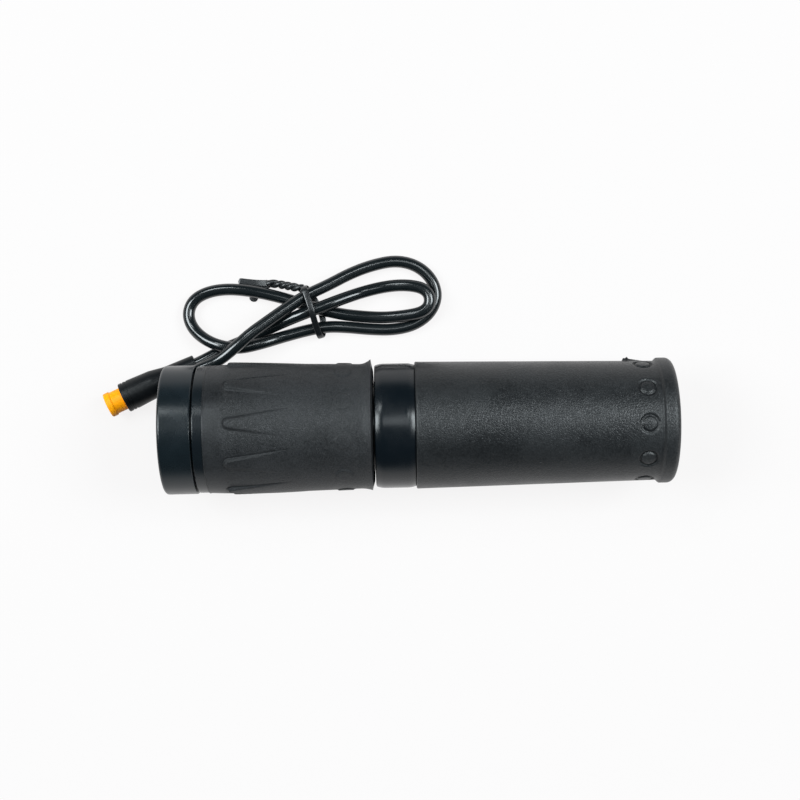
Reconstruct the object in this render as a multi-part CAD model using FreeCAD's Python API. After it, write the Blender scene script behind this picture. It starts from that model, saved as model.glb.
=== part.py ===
# Half twist throttle: a spring-returned twist grip with a fixed outer grip and a connector lead
import FreeCAD
import Part
import math
import os

V = FreeCAD.Vector

# Frame: millimetres, origin on the handlebar axis at the inboard face, +X along the bar to its
# outer end, +Y away from the rider, +Z up. Angles go round +X, from +Y towards +Z.
AXIS = V(1, 0, 0)
CENTRE = V(0, 0, 0)
FULL_TURN = 360
CUT_PAST = 1.0

# Bar and liner
BAR_R = 11.1
BAR_CLEARANCE = 0.1
LINER_WALL = 1.2
RUN_CLEARANCE = 0.08

# Fixed housing
HOUSING_ROUND = 0.9
HOUSING_EDGE = 0.35
CLAMP_LENGTH = 5.4
SKIRT_WALL = 1.6

# Twist tube
HEAD_GAP = 0.3
HEAD_WALL = 1.7
HEAD_FACE_GAP = 0.6
FACE_GAP = 0.4
FLANGE_SET_BACK = 0.3
FLANGE_LENGTH = 2.8
WEB_THICKNESS = 2.0
TUBE_WALL = 1.9
KEY_COUNT = 8
KEY_HEIGHT = 0.8
KEY_ANGLE = 7.0
KEY_STOP = 4.0
TWIST_TRAVEL = 70.0

# Stop lug and its slot
LUG_ANGLE = 70.0
LUG_SPAN = 16.0
LUG_LENGTH = 1.1
LUG_CLEARANCE = 0.25
STOP_PLAY = 1.5

# Twist rubber
RUBBER_LENGTH = 46.1
RUBBER_WALL = 4.49
BAND_DEPTH = 0.87
BAND_SLOPE = 0.25
FADE_DROP = 1.07
WAIST_DROP = 1.45
LIP_RISE = 0.88
LIP_LENGTH = 3.8
LIP_BEVEL = 1.2
LIP_FACE_WALL = 0.72
BARREL_LENGTH = 5.9
FINGER_COUNT = 10
FINGER_X = 5.8
FINGER_TIP_R = 1.4
FINGER_HALF_ANGLE = 8.7
FINGER_ANGLE = 84.4
FINGER_FADE = 27.4
DISC_R = 2.3
DISC_RISE = 0.3
DISC_FROM_END = 8.1

# Retention of the twist tube
TUBE_RECESS = 1.6
AXIAL_PLAY = 0.1
WASHER_THICKNESS = 0.5
RING_THICKNESS = 0.8
RING_SIDE_PLAY = 0.05
RING_GROOVE_DEPTH = 0.5
RING_SET_BACK = 0.38
RING_GAP_ANGLE = 40.0
WASHER_CLEARANCE = 0.05

# Fixed outer grip
GRIP_GAP = 0.4
COLLAR_CORE = 1.35
COLLAR_LENGTH = 11.2
COLLAR_ROUND = 0.5
COLLAR_EDGE = 0.15
CROWN_LENGTH = 1.7
CROWN_DROP = 0.45
CROWN_ROUND = 6.0
COLLAR_WALL = 2.0
COLLAR_WEB = 2.4
HUB_WALL = 1.6
SPIGOT_LENGTH = 4.0
SPIGOT_CLEARANCE = 0.05
SLEEVE_WALL = 1.8
SLEEVE_RIB_COUNT = 5
SLEEVE_RIB_HEIGHT = 0.6
SLEEVE_RIB_WIDTH = 1.6
GRIP_LENGTH = 71.5
GRIP_WALL = 4.75
GRIP_TAPER = 1.1
GRIP_END_WALL = 3.0
END_FLANGE_RISE = 0.85
END_FLANGE_LENGTH = 4.3
END_FLANGE_ROUND = 1.9
END_DISC_COUNT = 10
END_DISC_ANGLE = 92.0
END_DISC_FROM_END = 8.5
END_DISC_R = 1.95
END_DISC_GROOVE = 0.7
END_DISC_DEPTH = 0.45

# Return spring
SPRING_WIRE = 0.9
SPRING_CLEARANCE = 0.5
SPRING_ROOM = 0.6
SPRING_PITCH = 0.96
SPRING_TURNS = 3.75
SPRING_CORNERS = 16
SPRING_END_GAP = 0.15
SPRING_LEG = 1.2
SPRING_HOLE_PLAY = 0.15
SPRING_ANGLE = 25.0

# Magnets and sensor
MAGNET_DEPTH = 2.4
MAGNET_INSET = 0.3
MAGNET_SPAN = 44.0
MAGNET_PLAY = 0.05
MAGNET_ANGLES = (-84.0, 160.0)
POCKET_FLOOR = 1.8
POCKET_START = -82.0
POCKET_SPAN = 64.0
POCKET_INSET = 0.9
BOARD_THICKNESS = 1.0
BOARD_MARGIN = 0.15
BOARD_START = -80.0
BOARD_SPAN = 32.0
SENSOR_ANGLE = -66.0
SENSOR_WIDTH = 4.0
SENSOR_HEIGHT = 1.5
SENSOR_DEPTH = 2.2
WIRE_R = 0.3
WIRE_SPACING = 0.7
WIRE_GAP = 0.3
PAD_ANGLE = 4.0

# Set screw in its threaded insert
SCREW_ANGLE = -120.0
SCREW_R = 1.5
SCREW_LENGTH = 5.0
SCREW_SOCKET = 1.5
SCREW_SOCKET_DEPTH = 1.8
SCREW_POINT = 0.5
SCREW_HOLE_PLAY = 0.1
SCREW_PLAY = 0.04
INSERT_WALL = 0.6
INSERT_LENGTH = 4.2
INSERT_SEAT = 0.3
INSERT_GROOVE = 0.2

# Cord and its way out of the housing
CORD_D = 3.5
PORT_X = 4.4
PORT_ANGLE = -35.0
PORT_DIRECTION = V(0.609, 0.791, -0.051)
GROMMET_WALL = 0.45
GROMMET_INSIDE = 2.6
GROMMET_OUTSIDE = 1.2
GROMMET_NOSE = 0.1
CORD_OUTSIDE = 2.0
ARC_SHARE = 0.45
VOLUME_TOLERANCE = 0.01

# Connector: from the end of its boot to the tip of its nose
BOOT_END = V(6.8, 18.85, -15.5)
NOSE_TIP = V(-18.75, 7.2, -13.85)
NOSE_LENGTH = 5.1
BOOT_R = 2.75
BOOT_LENGTH = 9.0
BOOT_TAPER = 0.48
SHOULDER_LENGTH = 4.4
SHOULDER_R = 4.05
SHELL_R = 4.35
SHELL_RIBS = 3
RIB_PITCH = 1.05
RIB_GROOVE = 0.45
RIB_DEPTH = 0.18
SHELL_ROUND = 0.25
SOCKET_R = 3.65
SOCKET_DEPTH = 6.0
INSERT_PLAY = 0.05
NOSE_R = 3.3
NOSE_ROUND = 0.35
NOSE_RING_R = 3.6
NOSE_RING_LENGTH = 1.9
NOSE_RING_SLOPE = 0.3
CONTACT_COUNT = 3
CONTACT_CIRCLE_R = 1.55
CONTACT_R = 0.5
CONTACT_PLAY = 0.05
CONTACT_BORE_R = 0.3
CONTACT_SET_BACK = 0.6
CONTACT_LENGTH = 8.0
KEY_SLOT_WIDTH = 1.0
KEY_SLOT_DEPTH = 0.6
SEAL_THICKNESS = 0.6
SEAL_SET_BACK = 1.2
SEAL_PLAY = 0.03

# The cord's route past the housing, as it lies on the table: a figure of eight of two loops
LOOSE_ROUTE = [
    V(13.3, 19.0, -10.8),
    V(18.8, 23.1, -9.4),
    V(23.1, 26.9, -9.4),
    V(28.2, 30.5, -11.2),
    V(33.7, 34.3, -12.1),
    V(39.3, 38.0, -13.1),
    V(45.4, 40.7, -14.4),
    V(52.1, 44.2, -16.15),
    V(58.7, 46.6, -16.95),
    V(65.5, 47.8, -17.05),
    V(71.5, 46.2, -17.05),
    V(75.7, 42.3, -17.05),
    V(77.2, 37.2, -17.05),
    V(75.2, 32.3, -17.05),
    V(70.5, 28.7, -17.05),
    V(64.4, 27.3, -17.05),
    V(57.7, 27.7, -17.05),
    V(50.4, 28.7, -16.85),
    V(44.6, 28.9, -16.35),
    V(38.8, 27.9, -16.35),
    V(31.8, 26.1, -15.95),
    V(25.0, 24.0, -13.6),
    V(19.2, 22.9, -13.1),
    V(13.8, 23.8, -13.1),
    V(9.0, 26.1, -14.8),
    V(5.5, 29.6, -16.55),
    V(4.4, 33.7, -17.05),
    V(6.1, 37.5, -17.05),
    V(10.2, 39.7, -16.95),
    V(15.7, 40.5, -16.75),
    V(22.1, 39.9, -16.35),
    V(29.1, 38.4, -16.35),
    V(35.8, 36.4, -16.45),
    V(42.4, 34.1, -16.35),
    V(49.1, 32.4, -16.75),
    V(55.7, 31.7, -16.85),
    V(62.1, 31.6, -16.15),
    V(68.8, 32.2, -14.8),
    V(72.7, 33.3, -14.0),
    V(74.5, 34.6, -13.8),
    V(75.2, 36.7, -13.7),
    V(74.5, 38.8, -13.8),
    V(72.7, 40.1, -14.0),
    V(68.9, 40.8, -14.6),
    V(62.9, 40.3, -15.65),
    V(56.5, 39.0, -15.65),
    V(50.4, 37.0, -14.0),
    V(44.6, 34.8, -12.4),
    V(38.5, 32.6, -12.4),
    V(32.6, 30.5, -14.4),
    V(26.3, 27.9, -16.55),
    V(20.1, 25.1, -16.95),
    V(14.8, 23.1, -16.75),
]
CORD_INTO_BOOT = 4.4

# Twist tie: a band round the crossed strands, its twisted tail and its two flat ends
TIE_START = V(39.0, 39.3, -18.85)
TIE_DIRECTION = V(3.5, -12.0, 0.0)
TIE_BAND = [(-1.0, 0.6), (-1.0, 7.6), (6.9, 8.7), (13.5, 4.4), (13.5, 0.6)]
TIE_BAND_ROUND = 1.5
TIE_THICKNESS = 0.5
TIE_WIDTH = 1.5
TIE_TAIL_R = 0.7
TIE_TAIL = [
    V(38.4, 40.0, -14.2),
    V(36.0, 40.8, -15.0),
    V(33.3, 41.6, -16.0),
    V(30.5, 42.2, -17.0),
    V(28.0, 42.3, -17.9),
]
TIE_ENDS = [
    (V(28.4, 42.3, -18.3), V(19.4, 42.9, -18.3), V(0, 0, 1)),
    (V(28.2, 42.5, -18.45), V(23.6, 37.4, -18.45), V(0, 0, 1)),
]
TIE_STRIP_WIDTH = 1.8
TIE_STRIP_THICKNESS = 0.5

# Sizes and places that follow from the driving dimensions
BORE_R = BAR_R + BAR_CLEARANCE
LINER_R = BORE_R + LINER_WALL
TUBE_BORE_R = LINER_R + RUN_CLEARANCE
TUBE_R = TUBE_BORE_R + TUBE_WALL
SPRING_R = LINER_R + SPRING_CLEARANCE + SPRING_WIRE / 2
SPRING_CORNER_R = SPRING_R / math.cos(math.pi / SPRING_CORNERS)
SPRING_X = CLAMP_LENGTH + SPRING_END_GAP + SPRING_WIRE / 2
SPRING_LENGTH = SPRING_PITCH * SPRING_TURNS
HEAD_BORE_R = SPRING_R + SPRING_WIRE / 2 + SPRING_ROOM
HEAD_R = HEAD_BORE_R + HEAD_WALL
SKIRT_R = HEAD_R + HEAD_GAP
HOUSING_R = SKIRT_R + SKIRT_WALL
FLANGE_R = HOUSING_R - FLANGE_SET_BACK
HEAD_X = CLAMP_LENGTH + HEAD_FACE_GAP
WEB_X = SPRING_X + SPRING_LENGTH + SPRING_WIRE / 2 + SPRING_END_GAP
RUBBER_X = WEB_X + WEB_THICKNESS
FLANGE_X = RUBBER_X - FLANGE_LENGTH
HOUSING_LENGTH = FLANGE_X - FACE_GAP
RUBBER_END = RUBBER_X + RUBBER_LENGTH
RAISED_R = TUBE_R + RUBBER_WALL
FADE_R = RAISED_R - FADE_DROP
WAIST_R = RAISED_R - WAIST_DROP
LIP_R = WAIST_R + LIP_RISE
LIP_FACE_R = TUBE_R + LIP_FACE_WALL
BAND_R = RAISED_R - BAND_DEPTH
BARREL_X = RUBBER_X + BARREL_LENGTH
FADE_X = RUBBER_X + FINGER_FADE
WAIST_X = RUBBER_END - LIP_LENGTH
TUBE_END = RUBBER_END - TUBE_RECESS
WASHER_X = TUBE_END + AXIAL_PLAY
RING_X = WASHER_X + WASHER_THICKNESS
RING_END = RING_X + RING_THICKNESS
RING_GROOVE_R = LINER_R - RING_GROOVE_DEPTH
RING_R = TUBE_R - RING_SET_BACK
COLLAR_X = RUBBER_END + GRIP_GAP
GRIP_X = COLLAR_X + COLLAR_LENGTH
GRIP_END = GRIP_X + GRIP_LENGTH
LINER_END = COLLAR_X + SPIGOT_LENGTH
SPIGOT_R = LINER_R + SPIGOT_CLEARANCE
HUB_R = SPIGOT_R + HUB_WALL
COLLAR_BORE_R = HUB_R + COLLAR_CORE
COLLAR_R = COLLAR_BORE_R + COLLAR_WALL
SLEEVE_R = BORE_R + SLEEVE_WALL
GRIP_R = SLEEVE_R + GRIP_WALL
GRIP_END_R = GRIP_R - GRIP_TAPER
END_FLANGE_R = GRIP_END_R + END_FLANGE_RISE
SLEEVE_END = GRIP_END - GRIP_END_WALL
END_FLANGE_X = GRIP_END - END_FLANGE_LENGTH
POCKET_R = LINER_R + POCKET_INSET
SCREW_X = CLAMP_LENGTH / 2
INSERT_R = SCREW_R + INSERT_WALL
INSERT_TOP_R = HOUSING_R - INSERT_SEAT - INSERT_WALL
INSERT_FOOT_R = INSERT_TOP_R - INSERT_LENGTH
CORD_R = CORD_D / 2
GROMMET_R = CORD_R + GROMMET_WALL


def around(x, radius, angle):
    """Point at an axial place x, a radius and an angle about the bar axis."""
    turn = math.radians(angle)
    return V(x, radius * math.cos(turn), radius * math.sin(turn))


def unit(vector):
    """Copy of a vector with length one."""
    copy = V(vector)
    copy.normalize()
    return copy


def rounded_wire(corners):
    """Closed wire in the XY plane through (x, y, radius) corners, each rounded by a tangent arc."""
    places = [V(x, y, 0) for x, y, _ in corners]
    bends = []
    for i, (_, _, radius) in enumerate(corners):
        corner = places[i]
        back = unit(places[i - 1] - corner)
        ahead = unit(places[(i + 1) % len(places)] - corner)
        if radius == 0:
            bends.append((corner, None, corner))
            continue
        half = back.getAngle(ahead) / 2
        reach = radius / math.tan(half)
        inward = unit(back + ahead)
        middle = corner + inward * (radius / math.sin(half) - radius)
        bends.append((corner + back * reach, middle, corner + ahead * reach))
    edges = []
    for i, (start, middle, end) in enumerate(bends):
        if middle is not None:
            edges.append(Part.Arc(start, middle, end).toShape())
        following = bends[(i + 1) % len(bends)][0]
        edges.append(Part.LineSegment(end, following).toShape())
    return Part.Wire(edges)


def turned(corners):
    """Solid of revolution about the bar axis of an outline of (x, r) or (x, r, rounding) corners."""
    outline = [(c[0], c[1], c[2] if len(c) > 2 else 0) for c in corners]
    return Part.Face(rounded_wire(outline)).revolve(CENTRE, AXIS, FULL_TURN)


def sector(x0, x1, r0, r1, start, span):
    """Piece of a ring between two radii, two axial places and two angles."""
    corners = [V(x0, r0, 0), V(x1, r0, 0), V(x1, r1, 0), V(x0, r1, 0), V(x0, r0, 0)]
    face = Part.Face(Part.makePolygon(corners))
    face.rotate(CENTRE, AXIS, start)
    return face.revolve(CENTRE, AXIS, span)


def radial_rod(x, angle, r0, r1, radius):
    """Round rod along a radius of the bar, from r0 to r1."""
    return Part.makeCylinder(radius, r1 - r0, around(x, r0, angle), around(0, 1, angle))


def rod(start, end, radius):
    """Round rod between two points."""
    return Part.makeCylinder(radius, (end - start).Length, start, end - start)


def pattern(shape, count):
    """Equal copies of a shape about the bar axis, as one compound."""
    copies = []
    for i in range(count):
        copy = shape.copy()
        copy.rotate(CENTRE, AXIS, FULL_TURN * i / count)
        copies.append(copy)
    return Part.makeCompound(copies)


def tube_along(points, radius, name):
    """Round tube along straight runs joined by tangent arcs, and a printed test of its volume."""
    edges = []
    radii = []
    start = points[0]
    for before, corner, after in zip(points, points[1:], points[2:]):
        back = before - corner
        ahead = after - corner
        reach = ARC_SHARE * min(back.Length, ahead.Length)
        back = unit(back)
        ahead = unit(ahead)
        half = back.getAngle(ahead) / 2
        bend_r = reach * math.tan(half)
        radii.append(bend_r)
        middle = corner + unit(back + ahead) * (bend_r / math.sin(half) - bend_r)
        edges.append(Part.LineSegment(start, corner + back * reach).toShape())
        edges.append(Part.Arc(corner + back * reach, middle, corner + ahead * reach).toShape())
        start = corner + ahead * reach
    edges.append(Part.LineSegment(start, points[-1]).toShape())
    path = Part.Wire(edges)
    ring = Part.Wire(Part.makeCircle(radius, points[0], points[1] - points[0]))
    tube = path.makePipeShell([ring], True, True)
    expected = math.pi * radius**2 * path.Length
    fault = abs(tube.Volume / expected - 1)
    print(name, "length", round(path.Length, 1), "radii", [round(r, 1) for r in radii])
    print(name, "volume is within", round(100 * fault, 2), "percent, good:", fault < VOLUME_TOLERANCE)
    return tube


def port_axis():
    """Where the cord leaves the housing's surface, and its direction there."""
    return around(PORT_X, HOUSING_R, PORT_ANGLE), unit(PORT_DIRECTION)


def twist_top_r(x):
    """Outer radius of the twist rubber at x past the fingers: the taper from their end to the waist."""
    return FADE_R + (WAIST_R - FADE_R) * (x - FADE_X) / (WAIST_X - FADE_X)


def grip_top_r(x):
    """Outer radius of the fixed grip's taper at x."""
    return GRIP_R + (GRIP_END_R - GRIP_R) * (x - GRIP_X) / (END_FLANGE_X - GRIP_X)


def throttle_housing():
    """Housing ring, clamp section and liner tube in one moulding, with its pockets and holes."""
    shell = turned([
        (0, BORE_R),
        (LINER_END, BORE_R),
        (LINER_END, LINER_R),
        (RING_END + RING_SIDE_PLAY, LINER_R),
        (RING_END + RING_SIDE_PLAY, RING_GROOVE_R),
        (RING_X, RING_GROOVE_R),
        (RING_X, LINER_R),
        (CLAMP_LENGTH, LINER_R),
        (CLAMP_LENGTH, SKIRT_R),
        (HOUSING_LENGTH, SKIRT_R),
        (HOUSING_LENGTH, HOUSING_R, HOUSING_EDGE),
        (0, HOUSING_R, HOUSING_ROUND),
    ])
    slot_start = LUG_ANGLE - LUG_SPAN / 2 - STOP_PLAY
    slot_span = LUG_SPAN + TWIST_TRAVEL + 2 * STOP_PLAY
    slot_x = HEAD_X - LUG_LENGTH - LUG_CLEARANCE
    out = HOUSING_R + CUT_PAST
    exit_point, way = port_axis()
    leg_hole = SPRING_WIRE / 2 + SPRING_HOLE_PLAY
    leg_foot = around(SPRING_X - SPRING_WIRE / 2 - SPRING_LEG, SPRING_CORNER_R, SPRING_ANGLE)
    cuts = [
        sector(POCKET_FLOOR, CLAMP_LENGTH + CUT_PAST, POCKET_R, SKIRT_R, POCKET_START, POCKET_SPAN),
        sector(slot_x, CLAMP_LENGTH + CUT_PAST, HEAD_BORE_R, SKIRT_R, slot_start, slot_span),
        radial_rod(SCREW_X, SCREW_ANGLE, INSERT_FOOT_R, out, INSERT_R),
        radial_rod(SCREW_X, SCREW_ANGLE, BORE_R - CUT_PAST, out, SCREW_R + SCREW_HOLE_PLAY),
        rod(exit_point - way * (GROMMET_INSIDE + WIRE_GAP), exit_point + way * (CORD_OUTSIDE + GROMMET_R),
            GROMMET_R),
        Part.makeCylinder(leg_hole, SPRING_LEG + SPRING_WIRE, leg_foot, AXIS),
    ]
    return shell.cut(cuts)


def set_screw():
    """Grub screw with a hexagon socket and a chamfered point, just short of the bar."""
    foot = BORE_R + SCREW_HOLE_PLAY
    top = foot + SCREW_LENGTH
    radius = SCREW_R - SCREW_PLAY
    body = radial_rod(SCREW_X, SCREW_ANGLE, foot + SCREW_POINT, top, radius)
    point = Part.makeCone(radius - SCREW_POINT, radius, SCREW_POINT,
                          around(SCREW_X, foot, SCREW_ANGLE), around(0, 1, SCREW_ANGLE))
    corner_r = SCREW_SOCKET / math.sqrt(3)
    corners = []
    for i in range(7):
        turn = math.radians(60 * i)
        corners.append(V(corner_r * math.cos(turn), corner_r * math.sin(turn), 0))
    socket = Part.Face(Part.makePolygon(corners)).extrude(V(0, 0, SCREW_SOCKET_DEPTH + CUT_PAST))
    place = around(SCREW_X, top - SCREW_SOCKET_DEPTH, SCREW_ANGLE)
    turn = FreeCAD.Rotation(V(0, 0, 1), around(0, 1, SCREW_ANGLE))
    socket.Placement = FreeCAD.Placement(place, turn)
    return body.fuse(point).removeSplitter().cut(socket)


def screw_insert():
    """Brass threaded insert, a bush with one grooved band, pressed into the housing's hole."""
    bush = radial_rod(SCREW_X, SCREW_ANGLE, INSERT_FOOT_R, INSERT_TOP_R, INSERT_R)
    hole = radial_rod(SCREW_X, SCREW_ANGLE, INSERT_FOOT_R - CUT_PAST, INSERT_TOP_R + CUT_PAST, SCREW_R)
    band = INSERT_LENGTH / 3
    groove = radial_rod(SCREW_X, SCREW_ANGLE, INSERT_FOOT_R + band, INSERT_TOP_R - band,
                        INSERT_R + CUT_PAST)
    core = radial_rod(SCREW_X, SCREW_ANGLE, INSERT_FOOT_R, INSERT_TOP_R, INSERT_R - INSERT_GROOVE)
    return bush.cut([hole, groove.cut(core)])


def sensor_board():
    """Arc-shaped circuit board on the floor of the housing's pocket."""
    return sector(POCKET_FLOOR, POCKET_FLOOR + BOARD_THICKNESS, POCKET_R + BOARD_MARGIN,
                  SKIRT_R - BOARD_MARGIN, BOARD_START, BOARD_SPAN)


def hall_sensor():
    """Small sensor block on the board, facing the magnets, with one sloped marking edge."""
    half = SENSOR_WIDTH / 2
    slope = SENSOR_HEIGHT / 2
    outline = [(-half, 0, 0), (half, 0, 0), (half, SENSOR_HEIGHT - slope, 0),
               (half - slope, SENSOR_HEIGHT, 0), (slope - half, SENSOR_HEIGHT, 0),
               (-half, SENSOR_HEIGHT - slope, 0)]
    block = Part.Face(rounded_wire(outline)).extrude(V(0, 0, SENSOR_DEPTH))
    middle_r = (POCKET_R + SKIRT_R - SENSOR_DEPTH) / 2
    radial = around(0, 1, SENSOR_ANGLE)
    turn = FreeCAD.Rotation(AXIS.cross(radial), AXIS, radial, "ZYX")
    place = around(POCKET_FLOOR + BOARD_THICKNESS, middle_r, SENSOR_ANGLE)
    block.Placement = FreeCAD.Placement(place, turn)
    return block


def lead_wire(number):
    """One of the lead's wires, from the cord's inner end to its pad on the board."""
    exit_point, way = port_axis()
    inner = exit_point - way * (GROMMET_INSIDE + WIRE_GAP)
    angle = math.degrees(math.atan2(inner.z, inner.y)) - math.degrees(WIRE_R / SKIRT_R)
    wire_r = SKIRT_R - WIRE_SPACING * (number + 1)
    wire_x = POCKET_FLOOR + BOARD_THICKNESS + WIRE_R + WIRE_GAP / 3
    pad_angle = BOARD_START + BOARD_SPAN - PAD_ANGLE
    return rod(around(wire_x, wire_r, angle), around(wire_x, wire_r, pad_angle), WIRE_R)


def cable_grommet():
    """Rubber bush round the cord in the housing's port, with a tapered nose outside."""
    exit_point, way = port_axis()
    start = exit_point - way * GROMMET_INSIDE
    length = GROMMET_INSIDE + GROMMET_OUTSIDE / 2
    bush = Part.makeCylinder(GROMMET_R, length, start, way)
    nose = Part.makeCone(GROMMET_R, GROMMET_R - GROMMET_NOSE, GROMMET_OUTSIDE / 2,
                         start + way * length, way)
    return bush.fuse(nose).removeSplitter().cut(cord())


def return_spring():
    """Torsion spring round the liner, one leg in the housing and one in the twist tube's web."""
    steps = round(SPRING_TURNS * SPRING_CORNERS)
    coil = []
    for i in range(steps + 1):
        angle = SPRING_ANGLE + FULL_TURN * i / SPRING_CORNERS
        coil.append(around(SPRING_X + SPRING_LENGTH * i / steps, SPRING_CORNER_R, angle))
    leg = AXIS * (SPRING_WIRE / 2 + SPRING_LEG)
    return tube_along([coil[0] - leg] + coil + [coil[-1] + leg], SPRING_WIRE / 2, "return spring")


def spring_end_angle():
    """Angle of the spring's moving leg."""
    return SPRING_ANGLE + FULL_TURN * round(SPRING_TURNS * SPRING_CORNERS) / SPRING_CORNERS


def magnet_sector(start, play):
    """Arc magnet in the head's inboard face, or with play its pocket."""
    return sector(HEAD_X - play, HEAD_X + MAGNET_DEPTH + play, HEAD_BORE_R + MAGNET_INSET - play,
                  HEAD_R - MAGNET_INSET + play, start - math.degrees(play / HEAD_R),
                  MAGNET_SPAN + 2 * math.degrees(play / HEAD_R))


def magnet(number):
    """One of the two arc magnets that the sensor reads."""
    return magnet_sector(MAGNET_ANGLES[number], 0)


def twist_tube():
    """Rotating tube with its head in the housing, flange ring, keys for the rubber and stop lug."""
    tube = turned([
        (HEAD_X, HEAD_BORE_R),
        (HEAD_X, HEAD_R),
        (FLANGE_X, HEAD_R),
        (FLANGE_X, FLANGE_R, FACE_GAP),
        (RUBBER_X, FLANGE_R),
        (RUBBER_X, TUBE_R),
        (TUBE_END, TUBE_R),
        (TUBE_END, TUBE_BORE_R),
        (WEB_X, TUBE_BORE_R),
        (WEB_X, HEAD_BORE_R),
    ])
    key = sector(RUBBER_X - WEB_THICKNESS / 2, TUBE_END - KEY_STOP,
                 TUBE_R - TUBE_WALL / 2, TUBE_R + KEY_HEIGHT,
                 -KEY_ANGLE / 2, KEY_ANGLE)
    lug = sector(HEAD_X - LUG_LENGTH, HEAD_X + MAGNET_INSET, HEAD_BORE_R + LUG_CLEARANCE,
                 HEAD_R - LUG_CLEARANCE, LUG_ANGLE - LUG_SPAN / 2, LUG_SPAN)
    leg_hole = Part.makeCylinder(SPRING_WIRE / 2 + SPRING_HOLE_PLAY, SPRING_LEG + SPRING_WIRE,
                                 around(WEB_X - SPRING_WIRE, SPRING_CORNER_R, spring_end_angle()), AXIS)
    pockets = [magnet_sector(start, MAGNET_PLAY) for start in MAGNET_ANGLES]
    return tube.fuse([pattern(key, KEY_COUNT), lug]).cut(pockets + [leg_hole])


def finger(angle):
    """Prism of one raised finger: a rounded tip, then two edges that open towards the outer end."""
    half = math.radians(FINGER_HALF_ANGLE)
    tip = RUBBER_X + FINGER_X
    centre = V(tip + FINGER_TIP_R, 0, 0)
    reach = RUBBER_LENGTH
    side = V(-math.sin(half), math.cos(half), 0) * FINGER_TIP_R
    along = V(math.cos(half), math.sin(half), 0) * reach
    upper = centre + side
    lower = V(upper.x, -upper.y, 0)
    upper_end = upper + along
    lower_end = V(upper_end.x, -upper_end.y, 0)
    outline = Part.Wire([
        Part.Arc(lower, V(tip, 0, 0), upper).toShape(),
        Part.LineSegment(upper, upper_end).toShape(),
        Part.LineSegment(upper_end, lower_end).toShape(),
        Part.LineSegment(lower_end, lower).toShape(),
    ])
    prism = Part.Face(outline).extrude(V(0, 0, RAISED_R + CUT_PAST))
    prism.rotate(CENTRE, AXIS, angle - 90)
    return prism


def twist_rubber():
    """Rubber of the twist grip: recessed band, raised fingers that fade out, discs and flared lip."""
    barrel = turned([
        (RUBBER_X, TUBE_R),
        (RUBBER_X, RAISED_R, BAND_DEPTH / 2),
        (BARREL_X, RAISED_R),
        (FADE_X, FADE_R, FINGER_FADE),
        (WAIST_X, WAIST_R, LIP_LENGTH / 2),
        (RUBBER_END - LIP_BEVEL, LIP_R, LIP_BEVEL / 3),
        (RUBBER_END, LIP_FACE_R, LIP_BEVEL / 6),
        (RUBBER_END, TUBE_R),
    ])
    clear_r = RAISED_R + CUT_PAST
    recess = turned([
        (RUBBER_X - CUT_PAST, BAND_R - BAND_SLOPE),
        (RUBBER_X, BAND_R - BAND_SLOPE),
        (RUBBER_X + FINGER_X, BAND_R),
        (FADE_X, FADE_R),
        (FADE_X, clear_r),
        (RUBBER_X - CUT_PAST, clear_r),
    ])
    step = FULL_TURN / FINGER_COUNT
    fingers = [finger(FINGER_ANGLE + i * step) for i in range(FINGER_COUNT)]
    disc_x = RUBBER_END - DISC_FROM_END
    disc_top = twist_top_r(disc_x) + DISC_RISE
    disc = radial_rod(disc_x, FINGER_ANGLE + step / 2, WAIST_R - BAND_DEPTH, disc_top, DISC_R)
    body = barrel.cut(recess.cut(fingers)).fuse(pattern(disc, FINGER_COUNT))
    return body.cut(twist_tube())


def thrust_washer():
    """Plain washer between the twist tube's end and the retaining ring."""
    return turned([
        (WASHER_X, LINER_R + WASHER_CLEARANCE),
        (RING_X, LINER_R + WASHER_CLEARANCE),
        (RING_X, RING_R),
        (WASHER_X, RING_R),
    ])


def retaining_ring():
    """Open snap ring in the liner's groove."""
    inner = RING_GROOVE_R + WASHER_CLEARANCE
    return sector(RING_X, RING_END, inner, RING_R, -90 + RING_GAP_ANGLE / 2, FULL_TURN - RING_GAP_ANGLE)


def grip_sleeve():
    """Sleeve of the fixed grip: a cored collar, a spigot on the liner's end and a ribbed tube."""
    core_end = GRIP_X - COLLAR_WEB
    sleeve = turned([
        (COLLAR_X, SPIGOT_R),
        (COLLAR_X, HUB_R),
        (core_end, HUB_R),
        (core_end, COLLAR_BORE_R),
        (COLLAR_X, COLLAR_BORE_R),
        (COLLAR_X, COLLAR_R - CROWN_DROP, COLLAR_ROUND),
        (COLLAR_X + CROWN_LENGTH, COLLAR_R, CROWN_ROUND),
        (GRIP_X - CROWN_LENGTH, COLLAR_R, CROWN_ROUND),
        (GRIP_X, COLLAR_R - CROWN_DROP, COLLAR_EDGE),
        (GRIP_X, SLEEVE_R),
        (SLEEVE_END, SLEEVE_R),
        (SLEEVE_END, BORE_R),
        (LINER_END, BORE_R),
        (LINER_END, SPIGOT_R),
    ])
    pitch = (SLEEVE_END - GRIP_X) / (SLEEVE_RIB_COUNT + 1)
    ribs = []
    for i in range(SLEEVE_RIB_COUNT):
        middle = GRIP_X + pitch * (i + 1)
        ribs.append(turned([
            (middle - SLEEVE_RIB_WIDTH / 2, SLEEVE_R - SLEEVE_WALL / 2),
            (middle + SLEEVE_RIB_WIDTH / 2, SLEEVE_R - SLEEVE_WALL / 2),
            (middle + SLEEVE_RIB_WIDTH / 2, SLEEVE_R + SLEEVE_RIB_HEIGHT),
            (middle - SLEEVE_RIB_WIDTH / 2, SLEEVE_R + SLEEVE_RIB_HEIGHT),
        ]))
    return sleeve.fuse(ribs)


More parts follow.
